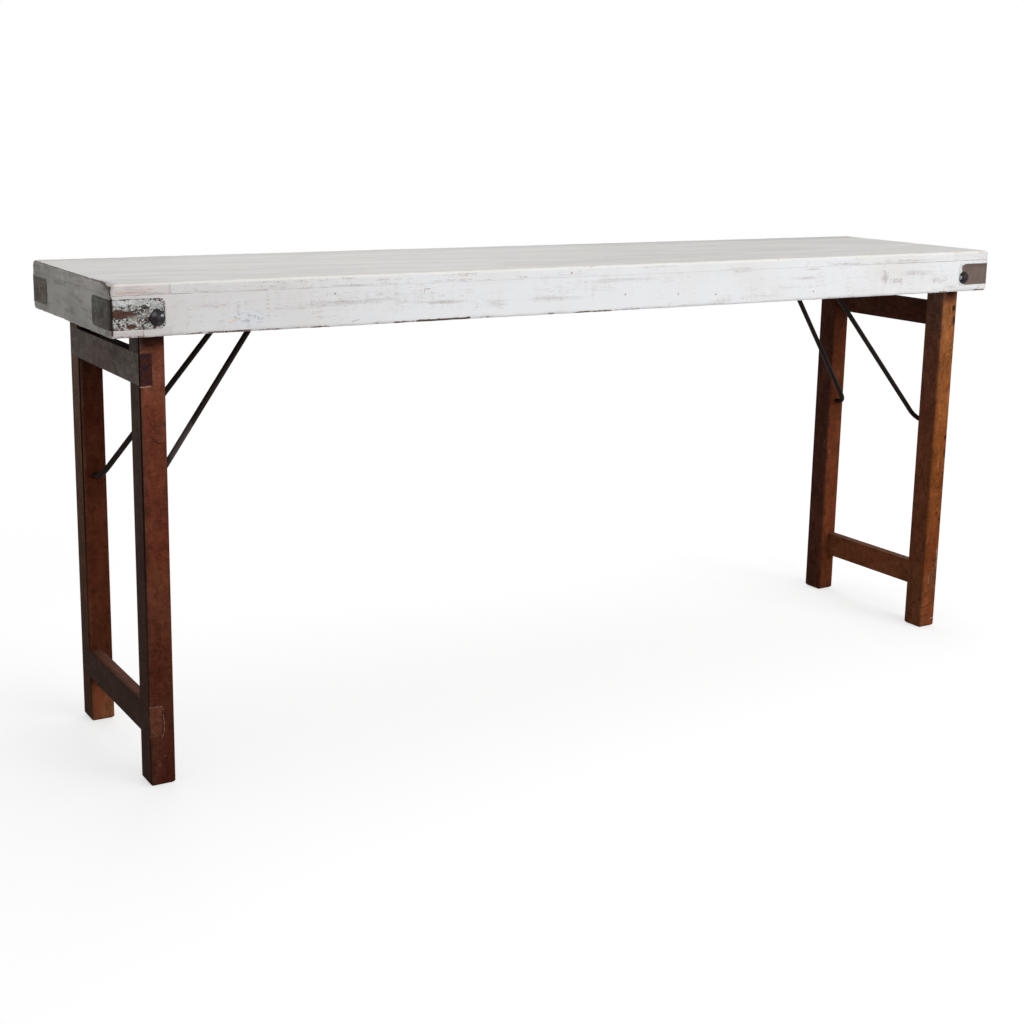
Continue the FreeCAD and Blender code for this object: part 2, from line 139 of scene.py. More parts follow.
class Surface:
    # a material, the piece's own coordinates in metres and the patterns drawn on them; the screen
    # colours of its palette are given by name
    def __init__(self, name, palette=None):
        self.palette = palette
        self.material = bpy.data.materials.new(name)
        self.material.use_nodes = True
        tree = self.material.node_tree
        tree.nodes.clear()
        place = tree.nodes.new("ShaderNodeTexCoord")
        self.at = Field(tree, place.outputs["Object"])
        self.node = self.at.node
        self.x, self.y, self.z = self.split(self.at)
        self.faceX, self.faceY, self.faceZ = self.split(Field(tree, place.outputs["Normal"]))

    def split(self, places):
        return [self.node("SeparateXYZ", {}, {0: places}, out) for out in range(3)]

    def vector(self, operation, inputs, out=0):
        # out is 1 for an operation that gives a number
        return self.node("VectorMath", {"operation": operation}, inputs, out)

    def noise(self, scale, shift=0.0, detail=3.0, rough=0.55, bend=0.0):
        # scale is the number of changes per metre along X, Y and Z
        moved = self.node(
            "Mapping", {},
            {"Vector": self.at, "Location": (shift, shift * 1.7, shift * 0.6), "Scale": scale})
        return self.node(
            "TexNoise", {},
            {"Vector": moved, "Scale": 1.0, "Detail": detail, "Roughness": rough, "Distortion": bend})

    def spot(self, centre, reach):
        # 1 at the centre and 0 outside the ellipsoid of that reach, both in millimetres
        offset = self.vector("SUBTRACT", {0: self.at, 1: metres(centre)})
        shrunk = self.vector("MULTIPLY", {0: offset, 1: tuple(1 / part for part in metres(reach))})
        return self.vector("LENGTH", {0: shrunk}, 1).between(1.0, 0.0)

    def spots(self, marks):
        # the strongest of several spots, each a centre, a reach and a strength
        return strongest([self.spot(centre, reach) * strength for centre, reach, strength in marks])

    def scratch(self, points, width):
        # 1 along straight runs through points and 0 beyond the width, in millimetres: the gap to a run
        # is the distance to the nearest point on it
        marks = []
        for start, end in zip(points, points[1:]):
            run = (Vector(end) - Vector(start)) * mm
            offset = self.vector("SUBTRACT", {0: self.at, 1: Vector(start) * mm})
            share = self.vector("DOT_PRODUCT", {0: offset, 1: run / run.length_squared}, 1)
            foot = self.vector("SCALE", {0: run, "Scale": share.least(1.0).most(0.0)})
            gap = self.vector("DISTANCE", {0: offset, 1: foot}, 1)
            marks.append(gap.between(width * mm, width * 0.3 * mm))
        return strongest(marks)

    def block(self, centre, half, soft):
        # 1 inside a box and 0 beyond its soft border, in millimetres
        away = self.vector("ABSOLUTE", {0: self.vector("SUBTRACT", {0: self.at, 1: metres(centre)})})
        beyond = self.vector("SUBTRACT", {0: away, 1: metres(half)})
        return (strongest(self.split(beyond)) * 1000).between(soft, 0.0)

    def arris(self, low, high):
        # distance in millimetres from the skin of a box to its nearest arris
        gaps = []
        for part, near, far in zip((self.x, self.y, self.z), low, high):
            gaps.append((part - near).size().least((part - far).size()) * 1000)
        first, second, third = gaps
        return first.most(second).least(first.most(third)).least(second.most(third))

    def mix(self, share, first, second, blend="MIX"):
        ends = [colour(*self.palette[end]) if isinstance(end, str) else end for end in (first, second)]
        return self.node(
            "Mix", {"data_type": "RGBA", "blend_type": blend, "clamp_factor": True},
            {0: share, 6: ends[0], 7: ends[1]}, 2)

    def layered(self, base, *layers):
        # colours laid over the base one after the other, each with its share
        for share, shade in layers:
            base = self.mix(share, base, shade)
        return base

    def finish(self, base, roughness, height, depth, **fixed):
        # height runs from 0 to 1, and depth is its full range in millimetres
        bump = self.node("Bump", {}, {"Height": height, "Distance": depth * mm, "Strength": 1.0})
        shader = self.node("BsdfPrincipled", {}, {
            "Base Color": base, "Roughness": roughness, "Normal": bump,
            **{name.replace("_", " "): value for name, value in fixed.items()}})
        self.node("OutputMaterial", {}, {"Surface": shader})
        return self.material


def placed(name, data):
    # a new object of the scene
    made = bpy.data.objects.new(name, data)
    bpy.context.scene.collection.objects.link(made)
    return made


def dress(material, slot, *names):
    for name in names:
        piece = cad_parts[name]
        piece.data.materials.clear()
        piece.data.materials.append(material)


# Worn timber: the boards and rails of the top, with tired arrises and dents

timber = {
    "endStations": [0, 0.15, 0.5, 1.1, 2, 3, 4.3, 6, 8, 10.5, 14, 18],
    "stationSpacing": 9.0,
    "arcSteps": 6,
    "topSteps": 14,
    "sideSteps": 5,
    "bottomSteps": 6,
    "supportWidth": 1.4,
    "hollow": 0.35,
    "dentReach": (5.0, 16.0),
    "dentDepth": (0.4, 1.5),
    "cornerReach": 70.0,
    "cornerEndReach": 75.0,
    "dipReach": 9.0,
}


def ripple(places, waves, seed):
    # a sum of sine waves with seeded phases, from -1 to 1, along one row of places in millimetres
    random = np.random.default_rng(seed)
    phases = random.uniform(0, 2 * np.pi, len(waves))
    total = sum(np.sin(2 * np.pi * places / wave + phase) for wave, phase in zip(waves, phases))
    return total / len(waves)


def roundedInset(distance, radius):
    # how far a rounded arris of that radius falls back at a distance from the end
    left = np.clip(radius - distance, 0, None)
    return radius - np.sqrt(np.clip(radius ** 2 - left ** 2, 0, None))


def timberSection(width, height, radii):
    # a rectangle with four rounded corners for each station, from the outer top corner round over
    # the top: each corner is its centre plus its radius times the cosine and sine of the turn
    corners = ((0, 1, 180), (1, 1, 90), (1, 0, 0), (0, 0, -90))
    turn = np.radians(np.linspace(0, -90, timber["arcSteps"] + 1))[None, :]
    arcs = []
    for (side, level, start), radius in zip(corners, radii.T):
        radius = radius[:, None]
        angle = turn + np.radians(start)
        across = side * width + (1 - 2 * side) * radius + radius * np.cos(angle)
        up = level * height + (1 - 2 * level) * radius + radius * np.sin(angle)
        arcs.append((across, up))
    columns = []
    steps = (timber["topSteps"], timber["sideSteps"], timber["bottomSteps"], timber["sideSteps"])
    for number, count in enumerate(steps):
        here, after = arcs[number], arcs[(number + 1) % 4]
        columns.append(here)
        run = np.abs(after[0][:, :1] - here[0][:, -1:]) + np.abs(after[1][:, :1] - here[1][:, -1:])
        support = timber["supportWidth"] / np.clip(run, 4 * timber["supportWidth"], None)
        share = support + (1 - 2 * support) * np.linspace(0, 1, count)[None, :]
        columns.append(tuple(a[:, -1:] + (b[:, :1] - a[:, -1:]) * share for a, b in zip(here, after)))
    return (np.concatenate([part[axis] for part in columns], axis=1) for axis in range(2))


def wornTimber(name, node, shape):
    # The section is carried along the piece, and its places are (along, in from the outer side, up).
    low, high = (np.array(corner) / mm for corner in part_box(node))
    long = shape["long"]
    deep = 1 - long
    length, width, height = high[long] - low[long], high[deep] - low[deep], high[2] - low[2]
    near = np.array(timber["endStations"])
    middle = np.linspace(near[-1], length - near[-1], int(length / timber["stationSpacing"]))[1:-1]
    along = np.concatenate([near, middle, (length - near)[::-1]])[:, None]
    fromEnd = np.minimum(along, length - along)
    leftness = np.exp(-(along / timber["cornerReach"]) ** 2)

    inset = roundedInset(fromEnd, shape["endPlan"])
    wobble = ripple(along, (610, 233, 97, 41, 17), shape["seed"])
    radii = np.repeat(np.array(shape["radii"])[None, :], len(along), axis=0)
    radii[:, 0] += (shape["arrisWear"] * (0.5 + wobble) + shape["cornerWear"] * leftness)[:, 0]
    radii[:, 3] += (shape["lowerWear"] * (0.5 + ripple(along, (410, 160, 67, 29), shape["seed"] + 1)))[:, 0]
    radii = np.clip(radii, 0.15, height * 0.46)
    across, up = timberSection(width - inset, height, radii)
    across = across + inset

    # the ends: the top falls away to a rounded, chipped arris, more so at the outer corner
    chips = ripple(across, (83, 31, 13, 7), shape["seed"] + 2)
    cornerEnd = shape["endWear"] * np.exp(-(across / timber["cornerEndReach"]) ** 2) * (along < length / 2)
    endRadius = np.clip(shape["endTop"] + cornerEnd + shape["endChips"] * chips, 0.15, height * 0.8)
    fall = roundedInset(fromEnd, endRadius)
    for place, reach, depth in shape["dips"]:
        fall = fall + depth * np.exp(-((across - place) / reach) ** 2 - (along / timber["dipReach"]) ** 2)
    lift = roundedInset(fromEnd, shape["endBottom"])
    share = up / height
    up = up - fall * share + lift * (1 - share)

    # a slow hollow over the faces, always inwards, and dents along the outer arrises
    hollow = timber["hollow"] * (0.5 + 0.5 * ripple(along + 0.3 * across, (870, 340, 140), shape["seed"] + 3))
    inTop = np.clip((up - height + 3) / 3, 0, 1) * np.clip(fromEnd / 20, 0, 1)
    inSide = np.clip((3 - across) / 3, 0, 1) * np.clip(fromEnd / 60, 0, 1)
    inSide = inSide * np.sin(np.pi * np.clip(share, 0, 1))
    up = up - hollow * inTop * shape["topShown"]
    across = across + hollow * inSide
    random = np.random.default_rng(shape["seed"] + 4)
    for _ in range(shape["dents"]):
        place, level = random.uniform(0, length), height * (random.random() < shape["topDents"])
        reach, depth = random.uniform(*timber["dentReach"]), random.uniform(*timber["dentDepth"])
        far = np.sqrt((along - place) ** 2 + (across * 2.2) ** 2 + ((up - level) * 2.2) ** 2) / reach
        dent = depth * np.clip(1 - far ** 2, 0, 1) ** 2
        across = across + dent * 0.7
        up = up + dent * 0.7 * (1 if level == 0 else -1)

    rows, columns = up.shape
    grid = np.zeros((rows, columns, 3))
    grid[:, :, long] = low[long] + along
    grid[:, :, deep] = low[deep] + across if shape["outer"] < 0 else high[deep] - across
    grid[:, :, 2] = low[2] + up
    first = np.arange(rows - 1)[:, None] * columns + np.arange(columns)[None, :]
    second = np.arange(rows - 1)[:, None] * columns + (np.arange(columns)[None, :] + 1) % columns
    quads = np.stack([first, second, second + columns, first + columns], axis=-1).reshape(-1, 4)
    faces = quads.tolist() + [list(range(columns))[::-1], list(range((rows - 1) * columns, rows * columns))]
    if (long == 0) != (shape["outer"] < 0):
        faces = [face[::-1] for face in faces]
    mesh = bpy.data.meshes.new(name)
    mesh.from_pydata((grid.reshape(-1, 3) * mm).tolist(), [], faces)
    mesh.shade_smooth()
    piece = placed(name, mesh)
    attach(piece, "top")
    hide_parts(node)
    return piece


# the axis along the piece, its outer side, and radii and wear in millimetres
plain = {
    "long": 0, "outer": -1, "radii": (0.4, 0.4, 0.4, 0.4), "endPlan": 0.0, "endTop": 0.3, "endBottom": 0.3,
    "arrisWear": 0.0, "cornerWear": 0.0, "lowerWear": 0.0, "endWear": 0.0, "endChips": 0.0, "dents": 0,
    "topDents": 1.0, "topShown": 1.0, "dips": (),
}
board = {**plain, "endTop": 5.0, "endBottom": 0.6, "endChips": 2.8}
edgeBoard = {**board, "radii": (4.2, 0.5, 0.4, 0.5), "endPlan": 9.0, "arrisWear": 2.4, "dents": 30}
rail = {**plain, "topShown": 0.0, "topDents": 0.0}
longRail = {
    **rail, "radii": (0.4, 0.3, 0.6, 4.6), "endPlan": 8.0, "endBottom": 4.5, "lowerWear": 3.0, "dents": 34,
}
shortRail = {
    **rail, "long": 1, "radii": (0.3, 0.3, 0.6, 4.6), "endTop": 0.15, "endBottom": 0.15, "lowerWear": 2.0,
    "dents": 7,
}
timbers = [
    ("frontBoard", "top_board_front", {
        **edgeBoard, "cornerWear": 5.0, "endWear": 9.0, "seed": 11, "dips": ((108, 13, 1.8),),
    }),
    ("middleBoard", "top_board_middle", {**board, "seed": 21}),
    ("rearBoard", "top_board_rear", {**edgeBoard, "outer": 1, "cornerWear": 1.0, "endWear": 2.0, "seed": 31}),
    ("frontRail", "side_rail_front", {**longRail, "seed": 41}),
    ("rearRail", "side_rail_rear", {**longRail, "outer": 1, "seed": 51}),
    ("leftRail", "end_rail_left", {**shortRail, "seed": 61}),
    ("rightRail", "end_rail_right", {**shortRail, "outer": 1, "seed": 71}),
]
wornPieces = {name: wornTimber(name, node, shape) for name, node, shape in timbers}
print("timber of the top:", len(wornPieces), "pieces")


def grain(long, slow, quick):
    # noise scale for a grain that runs along axis long: slow along it and quick across it
    return tuple(float(slow if axis == long else quick) for axis in range(3))


# the box of the top with its skirt, and where its pieces meet
tableLow, tableHigh = (list(corner) for corner in cadBounds)
tableLow[1], tableHigh[1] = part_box("top_board_front")[0].y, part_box("top_board_rear")[1].y
tableLow[0], tableHigh[0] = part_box("top_board_front")[0].x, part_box("top_board_front")[1].x
tableLow[2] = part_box("side_rail_front")[0].z
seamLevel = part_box("side_rail_front")[1].z
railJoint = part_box("end_rail_left")[1].y
boardJoints = [corner.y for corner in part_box("top_board_middle")]

# The faces that marks lie on: the axis square to each and how far along that axis it is, in millimetres

frontFace, upperFace, leftFace = (1, -208), (2, 790), (0, -900)
legFace, railFace = (1, -178), (0, -850)
ironFace, ironEndFace, boltFace = (1, -209), (0, -901), (1, -213)


def marksOn(face, deep, rows):
    # spots on a face, from rows of the two places on it, the reach along each and the strength
    axis, level = face
    marks = []
    for first, second, wide, tall, strength in rows:
        place, reach = [first, second], [wide, tall]
        place.insert(axis, level)
        reach.insert(axis, deep)
        marks.append((place, reach, strength))
    return marks


def linesOn(face, rows):
    # scratches on a face, from rows of their points on it, the half width and perhaps a colour
    axis, level = face
    return [([(*point[:axis], level, *point[axis:]) for point in points], *rest) for points, *rest in rows]


# Limewash, rubbed thin over old pine

limewash = {
    "white": (238, 239, 241),
    "cream": (227, 222, 216),
    "pink": (214, 205, 202),
    # shade: a greyer white for thin paint, and the painted shade towards the left end
    "shade": (204, 200, 198),
    "topWhite": (224, 222, 220),
    "topShade": (204, 202, 200),
    "topDeep": (176, 173, 170),
    "topBlue": (196, 199, 204),
    "arris": (248, 245, 238),
    "end": (185, 181, 176),
    "endShade": (153, 151, 144),
    "endDeep": (116, 106, 99),
    # soot: dark patches on the end, and the painted shadow beside the front left iron
    "soot": (100, 98, 90),
    "rubbed": (186, 168, 160),
    "smudge": (188, 182, 182),
    "peach": (226, 204, 186),
    "bloom": (206, 164, 148),
    "greyStreak": (176, 168, 168),
    "bare": (142, 92, 72),
    "dirt": (66, 47, 39),
    "tan": (218, 184, 156),
    "hatched": (224, 227, 233),
    "hatching": (172, 174, 184),
    "seam": (140, 116, 104),
    "inside": (142, 116, 92),
    "insideDark": (104, 80, 62),
    "coat": 0.35,
    "endJointX": -0.8098,
    "dotReach": 2.4,
}
rubbedPlaces = {
    "frontBoard": marksOn(frontFace, 9, [
        (-862, 777, 52, 5, 0.95), (-880, 776, 20, 9, 0.6),
    ]) + marksOn(frontFace, 8, [
        (-640, 776, 60, 6, 0.4), (-520, 774, 66, 3, 0.6), (260, 775, 48, 4, 0.7), (508, 775, 60, 4, 0.5),
        (700, 776, 110, 3, 0.5),
    ]) + marksOn(upperFace, 4, [
        (54, -77, 16, 3, 1.0), (-11, -102, 18, 3, 0.8), (14, -117, 26, 4, 0.6), (73, -105, 9, 4, 0.8),
        (-737, 103, 9, 5, 0.8), (-773, -157, 8, 5, 0.8), (-801, -165, 10, 5, 0.7), (-799, 6, 18, 6, 0.7),
    ]) + [
        ((815, -206, 789), (60, 8, 4), 0.7), ((578, -206, 789), (26, 8, 4), 0.7),
        ((346, -206, 788), (5, 8, 3), 1.0), ((-68, -205, 789), (13, 6, 5), 0.9),
        ((880, -207, 788), (30, 8, 5), 0.8),
    ],
    "frontRail": marksOn(frontFace, 9, [
        (-535, 747, 112, 6, 0.6), (-757, 752, 44, 8, 0.35), (-350, 740, 60, 6, 0.85),
        (-250, 733, 40, 12, 0.4), (-125, 736, 120, 7, 0.5), (-5, 764, 140, 8, 0.55), (95, 761, 26, 12, 0.5),
        (120, 742, 70, 14, 0.35), (260, 770, 48, 5, 0.7), (430, 768, 45, 5, 0.8), (417, 752, 60, 6, 0.9),
        (371, 736, 60, 6, 0.45), (507, 768, 50, 4, 0.5), (618, 746, 16, 18, 0.8), (648, 740, 26, 8, 0.8),
        (700, 752, 70, 14, 0.55), (798, 722, 30, 8, 0.6), (758, 737, 24, 9, 0.5), (-864, 712, 44, 8, 0.7),
        (-818, 748, 8, 30, 0.45), (-790, 760, 20, 10, 0.5), (-735, 722, 22, 12, 0.5),
        (-620, 742, 70, 5, 0.45), (-470, 750, 60, 4, 0.5), (-560, 725, 50, 5, 0.4), (560, 722, 70, 6, 0.5),
        (330, 722, 60, 5, 0.45), (740, 764, 60, 4, 0.45),
    ]),
}
# where the lower front arris is worn through: from, to and how much
lowRuns = [
    (-895, -846, 0.62), (-790, -760, 0.7), (-754, -680, 0.92), (-676, -596, 0.66), (-588, -553, 0.85),
    (-548, -486, 0.5), (-482, -452, 0.62), (-446, -400, 0.84), (-404, -303, 1.25), (-285, -255, 0.72),
    (-238, -200, 0.45), (-164, -137, 0.72), (-106, -20, 0.8), (-16, 40, 0.62), (70, 128, 0.45),
    (214, 262, 0.4), (430, 520, 0.5), (726, 790, 0.6), (862, 896, 0.8),
]
bluePlaces = marksOn(upperFace, 9, [
    (-740, 104, 130, 12, 0.8), (-850, 124, 50, 12, 0.7), (-300, 30, 220, 14, 0.5), (-860, 10, 60, 14, 0.5),
    (420, -90, 260, 12, 0.5),
])
# dark patches on the left end: soot, and at y -120 a painted shadow beside the end of the front left iron
sootAndShadowPlaces = marksOn(leftFace, 12, [
    (-192, 784, 40, 12, 0.9), (-120, 746, 10, 26, 0.45), (-40, 787, 130, 5, 0.5), (120, 787, 60, 5, 0.4),
    (-100, 771, 26, 5, 0.5), (-44, 754, 30, 10, 0.35), (196, 782, 22, 12, 0.7), (-194, 716, 28, 9, 0.9),
])
greyPlaces = marksOn(frontFace, 9, [(-866, 783, 50, 4, 0.7), (-850, 773, 60, 4, 0.6)])
rosyPlaces = marksOn(frontFace, 9, [
    (-868, 777, 50, 4.5, 0.8), (-886, 775, 20, 5, 0.8), (-843, 780, 24, 2.5, 0.7), (-838, 773, 40, 3, 0.5),
])
nailDots = {
    "frontBoard": [(548, 48, 790), (665, 122, 790), (-108, -208, 779)],
    "frontRail": [(119, -208, 734), (4, -208, 738), (435, -208, 726), (203, -208, 730), (-546, -208, 762)],
}
scratches = {
    "frontRail": linesOn(frontFace, [
        ([(-390, 757), (-389, 763), (-379, 763)], 1.0), ([(-517, 717), (-504, 720)], 0.7),
        ([(614, 760), (619, 746), (618, 731)], 0.9), ([(633, 745), (631, 735)], 0.8),
        ([(636, 734.5), (657, 736)], 0.6), ([(653, 737), (662, 734)], 1.3), ([(-851, 722), (-851, 706)], 0.9),
    ]),
    "frontBoard": linesOn(upperFace, [([(48, -77), (64, -76)], 1.6), ([(-20, -101), (-6, -103)], 1.2)]),
}


def washPatterns(surface, long, seed):
    # the first six run with the grain of one piece, and the paint's own run on from piece to piece
    return SimpleNamespace(
        fine=surface.noise(grain(long, 14, 900), seed, 4, 0.6),
        line=surface.noise(grain(long, 5, 240), seed + 2.3, 4, 0.55, 0.3),
        dash=surface.noise(grain(long, 60, 560), seed + 1.1, 3, 0.6),
        broad=surface.noise(grain(long, 2.2, 36), seed + 3.1, 3, 0.5, 0.6),
        drift=surface.noise(grain(long, 3.4, 20), seed + 4.2, 4, 0.55, 0.9),
        stroke=surface.noise(grain(long, 105, 13), seed + 5.7, 3),
        cloud=surface.noise((6.0, 6.0, 9.0), 7.9, 3),
        blotch=surface.noise((34.0, 34.0, 26.0), 3.3, 4, 0.6, 0.4),
        fleck=surface.noise((430.0,) * 3, 9.2, 3),
        breaks=surface.noise((38.0, 38.0, 14.0), 11.4, 4, 0.7),
        crumb=surface.noise((75.0, 20.0, 75.0), 23.4, 4, 0.65),
    )


def washedSide(surface, pattern, worn, rubs):
    pinkEnds = surface.x.size().between(0.76, 0.86) * pattern.cloud.between(0.25, 0.55)
    woven = (pattern.stroke * 0.28 + pattern.fleck * 0.32 + pattern.dash * 0.4).between(0.48, 0.64)
    towardsEnds = surface.x.size().between(0.2, 0.6) * 0.38 + 0.22
    smudge = (rubs + (pattern.broad - 0.5) * 1.2 + (pattern.line - 0.5) * 1.0
              + surface.x.between(0.2, 0.5) * 0.12).between(0.2, 0.95)
    return surface.layered(
        "white",
        (pattern.cloud.between(0.45, 0.75) * 0.4, "cream"),
        (pinkEnds * 0.5, "pink"),
        # painted shade: the front darkens towards the left end
        (surface.x.between(-0.3, -0.8) * 0.42, "shade"),
        (worn.between(0.0, 0.34) * 0.46, "shade"),
        (woven * worn.between(-0.05, 0.24) * towardsEnds, "rubbed"),
        (worn.between(0.24, 0.52) * 0.34, "rubbed"),
        (smudge * 0.4, "smudge"),
        ((worn + pattern.fleck * 0.9 - 0.45).between(0.38, 0.58) * 0.34, "bare"))


def washedTop(surface, pattern, worn):
    creamy = (pattern.cloud * 0.4 + pattern.broad * 0.6).between(0.42, 0.62)
    grainLines = (pattern.fine * 0.6 + pattern.line * 0.4).between(0.48, 0.62)
    gaps = strongest([((surface.y - edge).size() * 1000).between(1.6, 0.4) for edge in boardJoints])
    bluish = (surface.spots(bluePlaces) + (pattern.line - 0.5) * 1.4).between(0.25, 0.9)
    return surface.layered(
        "topWhite",
        (pattern.drift.between(0.34, 0.66) * 0.8, "topShade"),
        (pattern.broad.between(0.42, 0.74) * 0.14, "topDeep"),
        (pattern.line.between(0.5, 0.72) * 0.14, "topDeep"),
        (surface.x.between(-0.5, -0.86) * 0.16, "topDeep"),
        (pattern.dash.between(0.5, 0.72) * 0.16, "topDeep"),
        (creamy * 0.5, "cream"),
        (grainLines * 0.1, "topDeep"),
        (gaps * pattern.breaks.between(0.3, 0.5) * 0.5, "seam"),
        (bluish * 0.5, "topBlue"),
        (surface.y.between(0.12, 0.205) * 0.5, "topDeep"),
        ((worn + pattern.fleck * 0.5 - 0.25).between(0.36, 0.6) * 0.5, "rubbed"))


def washedEnd(surface, pattern):
    clouded = (pattern.blotch * 0.2 + pattern.crumb * 0.8).between(0.48, 0.64)
    specks = (pattern.fleck * 0.5 + pattern.crumb * 0.5).between(0.55, 0.64)
    # soot, with a painted shadow beside the front left iron
    sooty = (surface.spots(sootAndShadowPlaces) + (pattern.crumb - 0.5) * 0.9).between(0.2, 0.8)
    joint = ((surface.y.size() - railJoint).size() * 1000).between(1.4, 0.3)
    joint = joint * pattern.breaks.between(0.4, 0.6) * surface.z.between(seamLevel, seamLevel - mm)
    return surface.layered(
        "end",
        (pattern.cloud.between(0.35, 0.7), "endShade"),
        (clouded * 0.5, "endDeep"),
        (pattern.crumb.between(0.5, 0.32) * 0.4, "end"),
        (specks * 0.5, "endDeep"),
        (sooty * 0.6, "soot"),
        (joint * 0.4, "bare"))


def boardEnd(surface, coat, pattern, edgeward):
    # greyed and rosy streaks near the left end, and a joint where it was repaired
    line, fleck, breaks = pattern.line, pattern.fleck, pattern.breaks
    endJoint = limewash["endJointX"]
    repaired = surface.x.between(endJoint, endJoint - 1.5 * mm)
    streaky = (line - 0.5) * 2.0 + (pattern.dash - 0.5) * 1.6 + (fleck - 0.5) * 0.9
    joint = (surface.x - endJoint + (breaks - 0.5) * 0.008).size() * 1000
    return surface.layered(
        coat,
        (repaired * edgeward * 0.4, "pink"),
        ((surface.spots(greyPlaces) + streaky).between(0.25, 0.9) * edgeward * 0.85, "greyStreak"),
        ((surface.spots(rosyPlaces) + streaky).between(0.42, 1.0) * edgeward * 0.6, "bloom"),
        (joint.between(2.4, 0.4) * breaks.between(0.36, 0.56) * edgeward * 0.3, "bare"))


def railPatches(surface, coat, pattern):
    # two patches under the left iron, and worn specks of blue paint to the right of it
    line, fleck, breaks = pattern.line, pattern.fleck, pattern.breaks
    rosyPatch = surface.block((-876, -208, 711), (25, 9, 8), 1.2) * (fleck * 0.6 + line * 0.6 - 0.1)
    greyPatch = surface.block((-829, -208, 713), (21.5, 9, 11), 1.2)
    hatchedPlace = (surface.spot((-690, -208, 730), (40, 9, 21)) + breaks * 0.7 - 0.35).between(0.16, 0.5)
    hatching = surface.noise((95.0, 95.0, 210.0), 5.1, 4, 0.6, 0.8).between(0.5, 0.6)
    tanMark = surface.scratch([(-719, -208, 726), (-706, -208, 730)], 3.6) * breaks.between(0.36, 0.5)
    return surface.layered(
        coat,
        (rosyPatch.between(0.1, 0.9) * 0.75, "greyStreak"),
        (rosyPatch.between(0.52, 0.66) * 0.5, "bloom"),
        (greyPatch * 0.5, "shade"),
        (hatchedPlace * 0.65, "hatched"),
        (hatchedPlace * hatching * 0.7, "hatching"),
        (tanMark * fleck.between(0.36, 0.6) * 0.8, "peach"))


def lowWear(surface, name):
    # wear of the lower arris: in runs at the front, even elsewhere
    low = surface.z.between(tableLow[2] + 0.0066, tableLow[2] + 0.0016)
    low = low * (surface.y.size() * 1000).between(200.0, 206.0)
    if name != "frontRail":
        return low * 0.7
    return low * strongest([surface.x.between(start * mm - 0.006, start * mm + 0.006)
                            * surface.x.between(end * mm + 0.006, end * mm - 0.006) * much
                            for start, end, much in lowRuns])


def limewashed(name, long, seed):
    surface = Surface(name + "Limewash", limewash)
    pattern = washPatterns(surface, long, seed)
    line, fleck, breaks = pattern.line, pattern.fleck, pattern.breaks
    upward = surface.faceZ.between(0.55, 0.9)
    cornerward = surface.y.between(-0.16, -0.2) * surface.z.between(0.762, 0.782)
    cornerward = cornerward * surface.x.between(0.0, -0.1)
    turning = surface.faceX.size() - cornerward * 0.2
    endward = turning.between(0.45, 0.75)

    # the coat itself: thin in clouds, along the grain and across it
    worn = ((pattern.broad - 0.5) * 0.6 + (pattern.dash - 0.5) * 0.5 + (pattern.stroke - 0.5) * 0.24
            + (line - 0.5) * 0.3 + (pattern.blotch - 0.5) * 0.5 + (fleck - 0.5) * 0.55 - 0.03)
    rubs = surface.spots(rubbedPlaces[name]) if name in rubbedPlaces else pattern.drift.between(0.5, 0.8)
    worn = worn + rubs * 0.34
    coat = surface.layered(
        washedSide(surface, pattern, worn, rubs),
        (upward, washedTop(surface, pattern, worn)),
        (endward, washedEnd(surface, pattern)))
    if name == "frontBoard":
        coat = boardEnd(surface, coat, pattern, (1 - upward) * (1 - endward))
    if name == "frontRail":
        coat = railPatches(surface, coat, pattern)

    # arrises: bright along the top, broken and dark below and round the ends
    bright = surface.arris(tableLow, tableHigh).between(6.0, 1.5)
    bright = bright * surface.z.between(0.783, 0.787) * (1 - endward)
    tanned = bright * (rubs if name == "frontBoard" else fleck * 0.6)
    ends = turning.between(0.34, 0.46) * turning.between(0.8, 0.64) * surface.faceZ.between(-0.25, 0.0)
    ends = ends * (1 - cornerward.between(0.05, 0.5) * turning.between(0.6, 0.5))
    ends = ends * (surface.y.between(-0.06, -0.1) * 0.3 + 1.0)
    tired = lowWear(surface, name).most(ends) + (breaks - 0.5) * 1.1 + (fleck - 0.5) * 1.1
    bareArris = tired.between(0.5, 0.76)

    # the seam under the boards shows towards both ends, in dashes
    seamShare = (surface.x.between(-0.5, -0.66) * 0.38).most(surface.x.between(0.4, 0.75) * 0.55) + 0.32
    seam = ((surface.z - seamLevel).size() * 1000).between(1.2, 0.3) * (1 - upward) * (1 - endward * 0.8)
    seam = (seam * seamShare + (pattern.dash - 0.5) * 1.3 + (breaks - 0.5) * 1.0).between(0.5, 0.9)
    coat = surface.layered(
        coat,
        (bright * 0.85, "arris"),
        ((tanned + fleck - 0.5).between(0.5, 0.75) * 0.8, "tan"),
        (bareArris * 0.8, "bare"),
        ((tired + ends * 0.35).between(0.62, 0.86) * 0.9, "dirt"),
        (seam * 0.6, "seam"))
    if name in nailDots:
        reach = limewash["dotReach"]
        marks = [(place, (reach, 5, reach + (place[2] > 789) * 3), 1.0) for place in nailDots[name]]
        coat = surface.layered(coat, (surface.spots(marks).between(0.15, 0.5) * 0.85, "bare"))
    if name in scratches:
        marks = strongest([surface.scratch(points, width) for points, width in scratches[name]])
        coat = surface.layered(coat, (marks * fleck.between(0.35, 0.5) * 0.75, "bare"))

    raw = surface.layered("inside", (line.between(0.35, 0.65), "insideDark"))
    coat = surface.layered(coat, (facesInside(surface, name), raw))
    height = (pattern.fine * 0.3 + line * 0.25 + pattern.stroke * (1 - endward) * 0.15 + fleck * 0.12
              - worn.between(0.1, 0.4) * 0.2 - bareArris * 0.25)
    return surface.finish(
        coat, 0.58 + pattern.cloud * 0.2 + worn.between(0.1, 0.4) * 0.1, height, limewash["coat"],
        Specular_IOR_Level=0.35)


inwards = {
    "frontRail": ("faceY", 1),
    "rearRail": ("faceY", -1),
    "leftRail": ("faceX", 1),
    "rightRail": ("faceX", -1),
}


